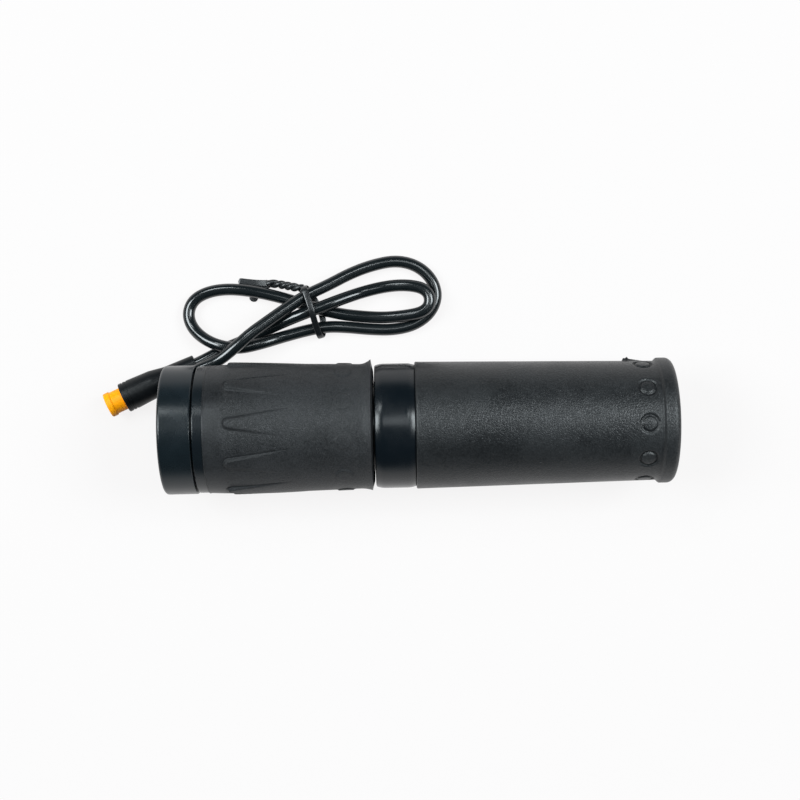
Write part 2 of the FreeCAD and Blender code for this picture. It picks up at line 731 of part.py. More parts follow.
def grip_rubber():
    """Rubber of the fixed grip: a slight taper, a row of ringed discs, an end flange, a closed end."""
    body = turned([
        (GRIP_X, SLEEVE_R),
        (GRIP_X, GRIP_R, END_FLANGE_ROUND / 4),
        (END_FLANGE_X, GRIP_END_R, END_FLANGE_ROUND / 2),
        (END_FLANGE_X + END_FLANGE_ROUND / 2, END_FLANGE_R, END_FLANGE_ROUND / 4),
        (GRIP_END, END_FLANGE_R, END_FLANGE_ROUND),
        (GRIP_END, 0),
        (SLEEVE_END, 0),
        (SLEEVE_END, SLEEVE_R),
    ])
    disc_x = GRIP_END - END_DISC_FROM_END
    top = grip_top_r(disc_x)
    floor = top - END_DISC_DEPTH
    outer = radial_rod(disc_x, END_DISC_ANGLE, floor, top + CUT_PAST, END_DISC_R + END_DISC_GROOVE)
    inner = radial_rod(disc_x, END_DISC_ANGLE, floor, top + CUT_PAST, END_DISC_R)
    return body.cut([pattern(outer.cut(inner), END_DISC_COUNT), grip_sleeve()])


def on_connector(shape):
    """Place a shape made along +X from the origin on the connector's axis, from boot to nose."""
    turn = FreeCAD.Rotation(AXIS, NOSE_TIP - BOOT_END)
    shape.Placement = FreeCAD.Placement(BOOT_END, turn)
    return shape


def connector_length():
    """Length from the boot's end to the nose's tip."""
    return (NOSE_TIP - BOOT_END).Length


def connector_body():
    """Overmoulded shell: slim boot, tapered body, grip ribs at the front and the insert's socket."""
    front = connector_length() - NOSE_LENGTH
    rib_start = front - RIB_PITCH * SHELL_RIBS
    outline = [
        (0, 0),
        (0, BOOT_R, SHELL_ROUND),
        (BOOT_LENGTH, BOOT_R + BOOT_TAPER, SHOULDER_LENGTH),
        (BOOT_LENGTH + SHOULDER_LENGTH, SHOULDER_R, SHOULDER_LENGTH),
        (rib_start, SHELL_R),
    ]
    for i in range(SHELL_RIBS - 1):
        groove = rib_start + RIB_PITCH * (i + 1) - RIB_GROOVE
        outline.append((groove, SHELL_R))
        outline.append((groove, SHELL_R - RIB_DEPTH))
        outline.append((groove + RIB_GROOVE, SHELL_R - RIB_DEPTH))
        outline.append((groove + RIB_GROOVE, SHELL_R))
    outline += [
        (front, SHELL_R, SHELL_ROUND),
        (front, SOCKET_R),
        (front - SOCKET_DEPTH, SOCKET_R),
        (front - SOCKET_DEPTH, 0),
    ]
    return on_connector(turned(outline))


def contact_place(number, along):
    """Place of a contact's axis on its circle, in the connector's own frame."""
    return around(along, CONTACT_CIRCLE_R, 90 + number * FULL_TURN / CONTACT_COUNT)


def connector_insert():
    """Insert with a stepped nose, contact holes and a key slot."""
    length = connector_length()
    front = length - NOSE_LENGTH
    foot_r = SOCKET_R - INSERT_PLAY
    seal_x = front - SEAL_SET_BACK
    insert = turned([
        (front - SOCKET_DEPTH, 0),
        (front - SOCKET_DEPTH, foot_r),
        (seal_x - SEAL_THICKNESS, foot_r),
        (seal_x - SEAL_THICKNESS, NOSE_R),
        (seal_x, NOSE_R),
        (seal_x, foot_r),
        (front, foot_r),
        (front, NOSE_R),
        (length - NOSE_RING_LENGTH, NOSE_R),
        (length - NOSE_RING_LENGTH + NOSE_RING_SLOPE, NOSE_RING_R),
        (length, NOSE_RING_R, NOSE_ROUND),
        (length, 0),
    ])
    depth = CONTACT_LENGTH + CONTACT_SET_BACK
    cuts = []
    for i in range(CONTACT_COUNT):
        foot = contact_place(i, length - depth)
        cuts.append(Part.makeCylinder(CONTACT_R + CONTACT_PLAY, depth + CUT_PAST, foot, AXIS))
    slot = Part.makeBox(NOSE_LENGTH + CUT_PAST, KEY_SLOT_WIDTH, KEY_SLOT_DEPTH + CUT_PAST,
                        V(front + KEY_SLOT_WIDTH, -KEY_SLOT_WIDTH / 2, -NOSE_R - CUT_PAST))
    return on_connector(insert.cut(cuts + [slot]))


def contact(number):
    """Socket contact: a round bar with a blind hole for the mating pin."""
    tip = connector_length() - CONTACT_SET_BACK
    foot = contact_place(number, tip - CONTACT_LENGTH)
    bar = Part.makeCylinder(CONTACT_R, CONTACT_LENGTH, foot, AXIS)
    hole = Part.makeCylinder(CONTACT_BORE_R, CONTACT_LENGTH, foot + AXIS * (CONTACT_LENGTH / 2), AXIS)
    return on_connector(bar.cut(hole))


def connector_seal():
    """Seal ring in the insert's groove, just inside the shell's mouth."""
    end = connector_length() - NOSE_LENGTH - SEAL_SET_BACK - SEAL_PLAY
    start = end - SEAL_THICKNESS + 2 * SEAL_PLAY
    inner = NOSE_R + SEAL_PLAY
    outer = SOCKET_R - SEAL_PLAY
    return on_connector(turned([(start, inner), (end, inner), (end, outer), (start, outer)]))


def cord():
    """The lead: out of its port, round two crossed loops and into the connector's boot."""
    exit_point, way = port_axis()
    into_boot = unit(BOOT_END - NOSE_TIP) * CORD_INTO_BOOT
    route = [exit_point - way * GROMMET_INSIDE, exit_point + way * CORD_OUTSIDE]
    route += LOOSE_ROUTE
    route += [BOOT_END + into_boot, BOOT_END]
    return tube_along(route, CORD_R, "cord")


def strip(start, end, up):
    """Flat strip between two points, with its face towards up."""
    along = end - start
    across = unit(up.cross(along)) * (TIE_STRIP_WIDTH / 2)
    lift = unit(along.cross(across)) * (TIE_STRIP_THICKNESS / 2)
    base = start - lift
    face = Part.Face(Part.makePolygon([base - across, base + across, end - lift + across,
                                       end - lift - across, base - across]))
    return face.extrude(lift * 2)


def twist_tie():
    """Covered wire tie: a band round the strands, a twisted tail and two flat ends."""
    outline = rounded_wire([(t, h, TIE_BAND_ROUND) for t, h in TIE_BAND])
    inner = Part.Face(outline)
    outer = Part.Face(outline.makeOffset2D(TIE_THICKNESS))
    band = outer.cut(inner).extrude(V(0, 0, TIE_WIDTH))
    along = unit(TIE_DIRECTION)
    turn = FreeCAD.Rotation(along, V(0, 0, 1), along.cross(V(0, 0, 1)), "XYZ")
    band.Placement = FreeCAD.Placement(TIE_START, turn)
    tail = tube_along(TIE_TAIL, TIE_TAIL_R, "tie tail")
    ends = [strip(start, end, up) for start, end, up in TIE_ENDS]
    return band.fuse([tail] + ends).removeSplitter()


def write(name, shape):
    """Write one sub-part to its STEP file and print what it is."""
    solids = shape.Solids
    solid = solids[0] if len(solids) == 1 else shape
    print(name, "solids", len(solids), "valid", shape.isValid(), "volume", round(shape.Volume, 1))
    solid.exportStep("parts/" + name + ".step")


def main():
    """Build every sub-part."""
    os.makedirs("parts", exist_ok=True)
    singles = [
        throttle_housing, set_screw, screw_insert, sensor_board, hall_sensor, cable_grommet, return_spring,
        twist_tube, twist_rubber, thrust_washer, retaining_ring, grip_sleeve, grip_rubber, connector_body,
        connector_insert, connector_seal, cord, twist_tie,
    ]
    for make in singles:
        write(make.__name__, make())
    repeats = [(lead_wire, CONTACT_COUNT), (magnet, len(MAGNET_ANGLES)), (contact, CONTACT_COUNT)]
    for make, count in repeats:
        for number in range(count):
            write(make.__name__ + "_" + str(number + 1), make(number))


main()
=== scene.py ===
# %% [markdown]
# A half twist throttle, dressed in Blender.
# The real object is a plastic housing and a rubber twist grip that slide on a handlebar, with a
# fixed rubber grip beside them and a thin lead that ends in a round connector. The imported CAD
# parts give every size and place, so this script only adds the looks: moulded rubber with its
# raised fingers, smooth plastics, the cord and its tie, and the light.

# %% Load the frame
import math
import bmesh
import bpy
import numpy as np
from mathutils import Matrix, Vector


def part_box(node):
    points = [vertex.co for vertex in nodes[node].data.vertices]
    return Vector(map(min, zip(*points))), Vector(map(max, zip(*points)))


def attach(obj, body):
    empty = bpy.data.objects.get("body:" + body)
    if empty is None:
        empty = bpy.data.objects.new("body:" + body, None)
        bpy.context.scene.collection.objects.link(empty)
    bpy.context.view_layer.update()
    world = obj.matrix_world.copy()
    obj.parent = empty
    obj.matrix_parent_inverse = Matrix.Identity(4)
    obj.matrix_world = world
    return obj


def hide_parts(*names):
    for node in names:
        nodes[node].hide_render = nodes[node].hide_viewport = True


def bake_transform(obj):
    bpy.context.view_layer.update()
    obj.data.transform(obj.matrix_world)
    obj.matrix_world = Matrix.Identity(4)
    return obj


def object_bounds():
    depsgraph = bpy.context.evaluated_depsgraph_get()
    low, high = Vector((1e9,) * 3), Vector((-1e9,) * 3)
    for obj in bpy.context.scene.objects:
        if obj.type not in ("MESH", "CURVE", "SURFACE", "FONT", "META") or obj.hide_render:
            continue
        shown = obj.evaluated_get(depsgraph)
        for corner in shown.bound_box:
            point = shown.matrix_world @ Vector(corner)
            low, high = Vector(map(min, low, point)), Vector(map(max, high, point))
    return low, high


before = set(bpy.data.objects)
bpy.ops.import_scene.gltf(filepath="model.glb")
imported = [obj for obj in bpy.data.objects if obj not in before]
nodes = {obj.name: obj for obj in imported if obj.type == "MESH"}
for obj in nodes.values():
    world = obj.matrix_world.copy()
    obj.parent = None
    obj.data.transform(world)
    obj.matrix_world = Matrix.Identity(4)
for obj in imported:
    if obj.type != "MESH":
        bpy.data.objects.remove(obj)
cad_low, cad_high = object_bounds()
MM = 0.001
FIXED_BODY = "fixed"
TWIST_BODY = "twist"
print("CAD box in mm:", [round(v / MM, 1) for v in (*cad_low, *cad_high)])

# %% [markdown]
# The camera comes first, because everything else is judged through it. The photograph was taken
# from straight above, a little under half a metre up, so the ends of the grip curve slightly.
# A lens and a height that give 0.28 mm for each pixel at the bar axis repeat that view.

# %% Camera from above
def place_object(name, data):
    """Makes an object of a mesh, curve, lamp or camera, at the origin, and links it to the scene."""
    made = bpy.data.objects.new(name, data)
    bpy.context.scene.collection.objects.link(made)
    return made


CAMERA_PLACE = Vector((65.7, 7.12, 420.0)) * MM
CAMERA_TURN = math.radians(-1.19)
CAMERA_LENS = 67.5
SENSOR_WIDTH = 36.0
NEAR_CLIP = 0.01

camera_data = bpy.data.cameras.new("camera")
camera_data.sensor_fit = "HORIZONTAL"
camera_data.sensor_width = SENSOR_WIDTH
camera_data.lens = CAMERA_LENS
camera_data.clip_start = NEAR_CLIP
camera = place_object("camera", camera_data)
camera.location = CAMERA_PLACE
camera.rotation_euler = (0.0, 0.0, CAMERA_TURN)
bpy.context.scene.camera = camera
print("camera height in mm:", round(CAMERA_PLACE.z / MM))

# %% [markdown]
# Small helpers follow. A material here is a Principled BSDF whose inputs are fed by nodes, and
# these helpers keep the wiring short. Effects that several finishes share are node groups,
# so that grain or dust is built once and used with its own values in each material.

# %% Node helpers
def new_node(tree, kind, **values):
    """Adds one node and sets its properties, or its input sockets where the name is a socket's."""
    node = tree.nodes.new(kind)
    for name, value in values.items():
        socket = name.replace("_", " ")
        if socket in node.inputs:
            node.inputs[socket].default_value = value
        else:
            setattr(node, name, value)
    return node


def new_group(name, inputs, outputs):
    """Makes a shader node group with float inputs and outputs, and returns tree, inputs, outputs."""
    tree = bpy.data.node_groups.new(name, "ShaderNodeTree")
    for socket, default in inputs:
        made = tree.interface.new_socket(socket, in_out="INPUT", socket_type="NodeSocketFloat")
        made.default_value = default
    for socket in outputs:
        tree.interface.new_socket(socket, in_out="OUTPUT", socket_type="NodeSocketFloat")
    return tree, tree.nodes.new("NodeGroupInput"), tree.nodes.new("NodeGroupOutput")


def math_node(tree, operation, first, second=0.5, third=None):
    """Joins sockets or numbers with one Math node and returns its result socket."""
    node = new_node(tree, "ShaderNodeMath", operation=operation)
    for i, value in enumerate((first, second, third)):
        if value is None:
            continue
        if isinstance(value, (int, float)):
            node.inputs[i].default_value = value
        else:
            tree.links.new(value, node.inputs[i])
    return node.outputs[0]


def ramp(tree, value, low, high, low_out=0.0, high_out=1.0):
    """Maps a value smoothly from the range low to high onto low_out to high_out."""
    node = new_node(tree, "ShaderNodeMapRange", interpolation_type="SMOOTHSTEP")
    for socket, number in zip(node.inputs[1:5], (low, high, low_out, high_out)):
        socket.default_value = number
    tree.links.new(value, node.inputs[0])
    return node.outputs[0]


def blend_colour(tree, share, first, second):
    """Mixes two colours, each a socket or three numbers, by a share socket; returns the result socket."""
    node = new_node(tree, "ShaderNodeMix", data_type="RGBA")
    tree.links.new(share, node.inputs[0])
    for socket, colour in zip(node.inputs[6:8], (first, second)):
        if isinstance(colour, tuple):
            socket.default_value = (*colour, 1.0)
        else:
            tree.links.new(colour, socket)
    return node.outputs[2]


# %% [markdown]
# Moulded rubber has a fine leather-like grain: cells about half a millimetre wide, with soft creases
# between them, and a still finer tooth. Voronoi cells give the creases, and a noise that bends
# the cells keeps them from looking like tiles. The group puts out a height for bump, a slow tone
# for worn patches and a fine tone, which paints shade into the creases and glints onto the tooth.

# %% Shared effects as node groups
NOISE_LOW, NOISE_HIGH = 0.3, 0.7
CELL_BEND_SCALE = 520.0
CELL_BEND = 0.0016
CREASE_WIDTH = 0.22
TOOTH_SHARE = 0.7
PATCH_SCALE = 60.0
RARE_SPECKS = 0.72


def leather_grain_group():
    """Height = cell creases plus fine tooth; Tone = slow patches; Fine = height as a 0 to 1 tone,
    which paints shade into the creases and glints onto the tooth.
    """
    tree, given, result = new_group(
        "leather grain", [("Cells", 900.0), ("Tooth", 2600.0), ("Crease", 0.6)],
        ["Height", "Tone", "Fine"])
    place = tree.nodes.new("ShaderNodeTexCoord").outputs["Object"]
    bend = new_node(tree, "ShaderNodeTexNoise", Scale=CELL_BEND_SCALE, Detail=2.0)
    tree.links.new(place, bend.inputs["Vector"])
    shift = new_node(tree, "ShaderNodeVectorMath", operation="MULTIPLY_ADD")
    shift.inputs[1].default_value = (CELL_BEND, CELL_BEND, CELL_BEND)
    tree.links.new(bend.outputs["Color"], shift.inputs[0])
    tree.links.new(place, shift.inputs[2])
    cells = new_node(tree, "ShaderNodeTexVoronoi", feature="DISTANCE_TO_EDGE")
    tree.links.new(shift.outputs[0], cells.inputs["Vector"])
    tree.links.new(given.outputs["Cells"], cells.inputs["Scale"])
    crease = ramp(tree, cells.outputs["Distance"], 0.0, CREASE_WIDTH)
    tooth = new_node(tree, "ShaderNodeTexNoise", Detail=3.0, Roughness=0.6)
    tree.links.new(place, tooth.inputs["Vector"])
    tree.links.new(given.outputs["Tooth"], tooth.inputs["Scale"])
    deep = math_node(tree, "MULTIPLY", crease, given.outputs["Crease"])
    height = math_node(tree, "MULTIPLY_ADD", tooth.outputs[0], TOOTH_SHARE, deep)
    patches = new_node(tree, "ShaderNodeTexNoise", Scale=PATCH_SCALE, Detail=4.0, Roughness=0.6)
    tree.links.new(place, patches.inputs["Vector"])
    fine = math_node(tree, "ADD", ramp(tree, tooth.outputs[0], NOISE_LOW, NOISE_HIGH), deep)
    full = math_node(tree, "ADD", given.outputs["Crease"], 1.0)
    tree.links.new(height, result.inputs["Height"])
    tree.links.new(ramp(tree, patches.outputs[0], NOISE_LOW, NOISE_HIGH), result.inputs["Tone"])
    tree.links.new(math_node(tree, "DIVIDE", fine, full), result.inputs["Fine"])
    return tree


def dust_group():
    """Specks = 1 on tiny scattered points that lie on the surface, 0 elsewhere."""
    tree, given, result = new_group("dust", [("Spread", 520.0), ("Size", 0.05)], ["Specks"])
    place = tree.nodes.new("ShaderNodeTexCoord").outputs["Object"]
    points = new_node(tree, "ShaderNodeTexVoronoi", feature="F1")
    tree.links.new(place, points.inputs["Vector"])
    tree.links.new(given.outputs["Spread"], points.inputs["Scale"])
    inside = math_node(tree, "LESS_THAN", points.outputs["Distance"], given.outputs["Size"])
    rare = new_node(tree, "ShaderNodeSeparateColor")
    tree.links.new(points.outputs["Color"], rare.inputs[0])
    chosen = math_node(tree, "GREATER_THAN", rare.outputs[0], RARE_SPECKS)
    tree.links.new(math_node(tree, "MULTIPLY", inside, chosen), result.inputs["Specks"])
    return tree


def moulding_group():
    """Height = faint mould texture; Tone = slow handling marks, for hard plastics."""
    tree, given, result = new_group("moulding", [("Fine", 2600.0), ("Broad", 90.0)], ["Height", "Tone"])
    place = tree.nodes.new("ShaderNodeTexCoord").outputs["Object"]
    fine = new_node(tree, "ShaderNodeTexNoise", Detail=2.0)
    broad = new_node(tree, "ShaderNodeTexNoise", Detail=5.0, Roughness=0.65)
    for node, socket in ((fine, "Fine"), (broad, "Broad")):
        tree.links.new(place, node.inputs["Vector"])
        tree.links.new(given.outputs[socket], node.inputs["Scale"])
    tree.links.new(fine.outputs[0], result.inputs["Height"])
    tree.links.new(ramp(tree, broad.outputs[0], NOISE_LOW, NOISE_HIGH), result.inputs["Tone"])
    return tree


leather_grain = leather_grain_group()
dust = dust_group()
moulding = moulding_group()
print("node groups:", [group.name for group in bpy.data.node_groups])

# %% [markdown]
# Each finish is a function with the colours and roughness of that real material. A finish that
# is the same all over, such as a specular level, is set straight on the shader's socket.

# %% Material makers
def new_material(name):
    """Makes a material with one Principled BSDF and returns material, tree and shader."""
    material = bpy.data.materials.new(name)
    material.use_nodes = True
    tree = material.node_tree
    return material, tree, tree.nodes["Principled BSDF"]


def add_group(tree, group, **values):
    """Places a node group in a material with its own input values."""
    node = new_node(tree, "ShaderNodeGroup")
    node.node_tree = group
    for name, value in values.items():
        node.inputs[name].default_value = value
    return node


def add_bump(tree, shader, height, distance):
    """Feeds a height into the shader's normal, as relief of a distance in metres."""
    bump = new_node(tree, "ShaderNodeBump", Distance=distance, Strength=1.0)
    tree.links.new(height, bump.inputs["Height"])
    tree.links.new(bump.outputs[0], shader.inputs["Normal"])


GRAIN_SHARE, PATCH_SHARE = 0.7, 0.3
DUST_GREY = (0.22, 0.23, 0.24)
DUST_STRENGTH = 0.35
# Colour and strength of the painted shade in the grooves at the fingers' feet and on the grip.
GROOVE_SHADE_BLACK = (0.002, 0.003, 0.004)
GROOVE_SHADE_STRENGTH = 0.85
ROUGH_SPREAD = 0.08
BAND_FLATTENING = 0.85
BAND_POLISH = 0.06
WALL_DULLING = 0.3


def mark(tree, name):
    """The strength of a mask stored as an attribute on the piece's points, such as painted groove shade.
    """
    return new_node(tree, "ShaderNodeAttribute", attribute_name=name).outputs["Fac"]


def rubber_material(name, dark, pale, cells, crease, relief, rough_low, specular):
    """Matte rubber: grain with painted shade in its creases and painted glints on its tooth, patches,
    a smoother band, painted shade in the grooves, dull walls, a little dust.
    """
    material, tree, shader = new_material(name)
    grain = add_group(tree, leather_grain, Cells=cells, Crease=crease)
    specks = add_group(tree, dust)
    # The grain's fine tone is painted shade in the creases and painted glints on the tooth; the slow
    # patches are the rubber's own tone.
    patchy = math_node(tree, "MULTIPLY", grain.outputs["Tone"], PATCH_SHARE)
    paleness = math_node(tree, "MULTIPLY_ADD", grain.outputs["Fine"], GRAIN_SHARE, patchy)
    toned = blend_colour(tree, paleness, dark, pale)
    dusting = math_node(tree, "MULTIPLY", specks.outputs[0], DUST_STRENGTH)
    dusted = blend_colour(tree, dusting, toned, DUST_GREY)
    # Painted shade: the grooves darken the colour towards near black.
    groove_shading = math_node(tree, "MULTIPLY", mark(tree, "painted_groove_shade"), GROOVE_SHADE_STRENGTH)
    tree.links.new(blend_colour(tree, groove_shading, dusted, GROOVE_SHADE_BLACK), shader.inputs["Base Color"])
    band = mark(tree, "smooth_band")
    rough = ramp(tree, grain.outputs["Tone"], 0.0, 1.0, rough_low, rough_low + ROUGH_SPREAD)
    polished = math_node(tree, "MULTIPLY_ADD", band, -BAND_POLISH, rough)
    dulled = math_node(tree, "MULTIPLY_ADD", mark(tree, "moulded_wall"), WALL_DULLING, polished)
    tree.links.new(dulled, shader.inputs["Roughness"])
    grained = math_node(tree, "MULTIPLY_ADD", band, -BAND_FLATTENING, 1.0)
    add_bump(tree, shader, math_node(tree, "MULTIPLY", grain.outputs["Height"], grained), relief)
    shader.inputs["Specular IOR Level"].default_value = specular
    return material


def plastic_material(name, dark, pale, rough_low, rough_high, relief, specular=0.5):
    """Moulded plastic: two close tones, a roughness that varies with handling, faint relief."""
    material, tree, shader = new_material(name)
    skin = add_group(tree, moulding)
    tree.links.new(blend_colour(tree, skin.outputs["Tone"], dark, pale), shader.inputs["Base Color"])
    polish = ramp(tree, skin.outputs["Tone"], 0.0, 1.0, rough_low, rough_high)
    tree.links.new(polish, shader.inputs["Roughness"])
    add_bump(tree, shader, skin.outputs["Height"], relief)
    shader.inputs["Specular IOR Level"].default_value = specular
    return material


METAL_SKIN = {"Fine": 5200.0, "Broad": 400.0}
METAL_RELIEF = 0.000004


def metal_material(name, colour, worn, rough_low, rough_high):
    """Plain metal with slightly uneven polish."""
    material, tree, shader = new_material(name)
    skin = add_group(tree, moulding, **METAL_SKIN)
    tree.links.new(blend_colour(tree, skin.outputs["Tone"], colour, worn), shader.inputs["Base Color"])
    polish = ramp(tree, skin.outputs["Tone"], 0.0, 1.0, rough_low, rough_high)
    tree.links.new(polish, shader.inputs["Roughness"])
    add_bump(tree, shader, skin.outputs["Height"], METAL_RELIEF)
    shader.inputs["Metallic"].default_value = 1.0
    return material


finishes = {
    "housing_plastic": plastic_material(
        "housing plastic", (0.003, 0.006, 0.008), (0.004, 0.008, 0.011), 0.25, 0.31, 0.000001, 0.4),
    "twist_plastic": plastic_material(
        "twist ring plastic", (0.002, 0.004, 0.006), (0.003, 0.006, 0.008), 0.25, 0.31, 0.000001, 0.42),
    "twist_rubber": rubber_material(
        "twist rubber", (0.002, 0.0025, 0.003), (0.027, 0.028, 0.030), 2300.0, 0.45, 0.00006, 0.39, 0.28),
    "grip_rubber": rubber_material(
        "grip rubber", (0.002, 0.0025, 0.003), (0.018, 0.0195, 0.021), 1400.0, 0.7, 0.00004, 0.35, 0.38),
    "gloss_collar": plastic_material(
        "gloss collar", (0.001, 0.003, 0.005), (0.002, 0.004, 0.006), 0.22, 0.28, 0.0000005, 0.42),
    "cord_jacket": plastic_material(
        "cord jacket", (0.003, 0.005, 0.006), (0.005, 0.007, 0.008), 0.15, 0.20, 0.0000002, 0.6),
    "connector_black": plastic_material(
        "connector black", (0.003, 0.004, 0.005), (0.005, 0.006, 0.007), 0.36, 0.46, 0.000006, 0.25),
    "connector_orange": plastic_material(
        "connector orange", (1.0, 0.34, 0.001), (1.0, 0.39, 0.002), 0.40, 0.50, 0.000004, 0.2),
    "tie_black": plastic_material(
        "tie black", (0.004, 0.005, 0.006), (0.007, 0.008, 0.009), 0.28, 0.38, 0.00001),
}
print("finishes:", len(finishes))

# %% [markdown]
# The lead is one smooth NURBS line through the air and over itself: out of the housing, round a
# figure of eight, and into the connector's boot. Its control points are the route that the solid
# tube follows, moved by about a millimetre where the photograph shows the loops lie closer. A round
# bevel gives the line its thickness.

# %% The lead
CORD_DIAMETER = 3.5 * MM
PORT = Vector((4.4, 14.745, -10.324))
PORT_WAY = Vector((0.609, 0.791, -0.051)).normalized()
CORD_INSIDE = 2.6
CORD_OUTSIDE = 2.0
BOOT_END = Vector((6.8, 18.85, -15.5))
NOSE_TIP = Vector((-18.75, 7.2, -13.85))
CORD_INTO_BOOT = 4.4
CURVE_STEPS = 20
BEVEL_STEPS = 7
LOOSE_ROUTE = [
    (13.3, 19.0, -10.8), (18.8, 23.1, -9.4), (23.1, 26.9, -9.5), (28.2, 30.5, -10.6),
    (33.7, 34.3, -11.8), (39.3, 38.0, -13.0), (45.4, 40.7, -14.2), (52.1, 44.2, -15.4),
    (58.7, 46.6, -16.4), (65.5, 47.8, -16.95), (71.5, 46.2, -17.05), (75.7, 42.3, -17.05),
    (77.2, 37.2, -17.05), (75.2, 32.3, -17.05), (70.5, 28.9, -17.05), (64.4, 27.6, -17.05),
    (57.7, 27.85, -17.05), (50.4, 28.7, -16.95), (44.6, 28.9, -16.35), (38.8, 27.9, -16.35),
    (31.8, 26.1, -15.95), (25.0, 24.0, -13.6), (19.2, 22.9, -13.1), (13.8, 23.8, -13.1),
    (9.0, 26.1, -14.8), (5.5, 29.6, -16.55), (4.4, 33.7, -17.05), (6.1, 37.5, -17.05),
    (10.2, 39.7, -16.95), (15.7, 40.5, -16.75), (22.1, 39.9, -16.35), (29.1, 38.4, -16.35),
    (35.8, 36.4, -16.45), (42.4, 34.1, -16.35), (49.1, 32.4, -16.4), (55.7, 31.55, -16.2),
    (62.1, 31.1, -15.8), (68.6, 31.6, -14.7), (72.8, 32.4, -13.8), (74.9, 34.4, -13.75),
    (74.9, 37.4, -13.75), (72.8, 39.5, -14.0), (68.3, 40.4, -14.6), (62.9, 40.3, -15.65),
    (56.5, 39.0, -15.65), (50.4, 37.0, -14.0), (44.6, 34.8, -12.4), (38.5, 32.6, -12.4),
    (32.6, 30.5, -14.4), (26.3, 27.9, -16.55), (20.1, 25.1, -16.95), (14.8, 23.1, -16.75),
]
into_boot = (BOOT_END - NOSE_TIP).normalized() * CORD_INTO_BOOT
route = [PORT - PORT_WAY * CORD_INSIDE, PORT + PORT_WAY * CORD_OUTSIDE]
route += [Vector(point) for point in LOOSE_ROUTE]
route += [BOOT_END + into_boot, BOOT_END]


def nurbs_line(name, points, closed=False):
    """A curve of one NURBS spline of order 3 whose control points are given in millimetres."""
    curve = bpy.data.curves.new(name, "CURVE")
    curve.dimensions = "3D"
    curve.resolution_u = CURVE_STEPS
    spline = curve.splines.new("NURBS")
    spline.points.add(len(points) - 1)
    flat = np.ones((len(points), 4))
    flat[:, :3] = np.array([tuple(p) for p in points]) * MM
    spline.points.foreach_set("co", flat.ravel())
    spline.use_cyclic_u = closed
    spline.order_u = 3
    spline.use_endpoint_u = not closed
    return place_object(name, curve)


def line_points(curve_object):
    """Points along a curve's own line, in metres, read from the curve with no bevel."""
    mesh = bpy.data.meshes.new_from_object(curve_object)
    points = np.empty(len(mesh.vertices) * 3)
    mesh.vertices.foreach_get("co", points)
    bpy.data.meshes.remove(mesh)
    return points.reshape(-1, 3)


lead = nurbs_line("lead", route)
lead_line = line_points(lead)
lead.data.bevel_depth = CORD_DIAMETER / 2
lead.data.bevel_resolution = BEVEL_STEPS
lead.data.use_fill_caps = True
lead.data.materials.append(finishes["cord_jacket"])
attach(lead, FIXED_BODY)
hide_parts("cord")

# %% [markdown]
# Every new rubber piece below is a surface of turning: a ring of points for each place along the
# bar. One helper turns such a grid into a mesh, joining the last column to the first, and either
# joining the last row to the first or closing both ends with a pole.

# %% Grid helpers
def face_outwards(mesh):
    """Turns the faces round if the closed mesh has a negative volume."""
    shell = bmesh.new()
    shell.from_mesh(mesh)
    if shell.calc_volume(signed=True) < 0:
        bmesh.ops.reverse_faces(shell, faces=shell.faces)
        shell.to_mesh(mesh)
    shell.free()


def grid_mesh(name, points, poles=False, attributes=None):
    """Mesh of a grid of points in millimetres, as rows of rings: each ring closes on itself.

    Without poles the last row joins the first, as on a sleeve. With poles each end row meets in
    one point at its middle, so the surface is closed at both ends.
    """
    rows, columns = points.shape[:2]
    co = points.reshape(-1, 3) * MM
    row = np.arange(rows - 1 if poles else rows)[:, None]
    column = np.arange(columns)[None, :]
    next_row = (row + 1) % rows
    next_column = (column + 1) % columns
    corners = [row * columns + column, row * columns + next_column,
               next_row * columns + next_column, next_row * columns + column]
    quads = np.stack([np.broadcast_to(c, (row.size, columns)) for c in corners], axis=-1)
    quads = quads.reshape(-1, 4)
    loops = quads.ravel()
    totals = np.full(len(quads), 4)
    if poles:
        rim = np.arange(columns)
        after = (rim + 1) % columns
        end = (rows - 1) * columns
        start_fan = np.stack([np.full(columns, len(co)), after, rim], axis=-1)
        end_fan = np.stack([np.full(columns, len(co) + 1), end + rim, end + after], axis=-1)
        loops = np.concatenate([loops, start_fan.ravel(), end_fan.ravel()])
        totals = np.concatenate([totals, np.full(2 * columns, 3)])
        co = np.concatenate([co, [points[0].mean(axis=0) * MM, points[-1].mean(axis=0) * MM]])
    mesh = bpy.data.meshes.new(name)
    mesh.vertices.add(len(co))
    mesh.vertices.foreach_set("co", co.ravel())
    mesh.loops.add(len(loops))
    mesh.loops.foreach_set("vertex_index", loops.astype(np.int32))
    mesh.polygons.add(len(totals))
    starts = np.concatenate([[0], np.cumsum(totals)[:-1]])
    mesh.polygons.foreach_set("loop_start", starts.astype(np.int32))
    mesh.polygons.foreach_set("use_smooth", np.ones(len(totals), dtype=bool))
    mesh.update(calc_edges=True)
    for label, values in (attributes or {}).items():
        flat = np.zeros(len(co), dtype=np.float32)
        flat[:rows * columns] = values.ravel()
        mesh.attributes.new(label, "FLOAT", "POINT").data.foreach_set("value", flat)
    face_outwards(mesh)
    return place_object(name, mesh)


def turned_points(x, radius, angle):
    """Points of a surface of turning about the bar: (x, radius cos angle, radius sin angle)."""
    return np.stack(np.broadcast_arrays(x, radius * np.cos(angle), radius * np.sin(angle)), axis=-1)


def smoothstep(low, high, value):
    """Rises from 0 at low to 1 at high, level at both ends."""
    t = np.clip((value - low) / (high - low), 0.0, 1.0)
    return t * t * (3.0 - 2.0 * t)


def turn_distance(angle, centre, pitch):
    """Signed angle from the nearest of the places centre, centre + pitch, centre + 2 pitch ..."""
    return (angle - centre + pitch / 2) % pitch - pitch / 2


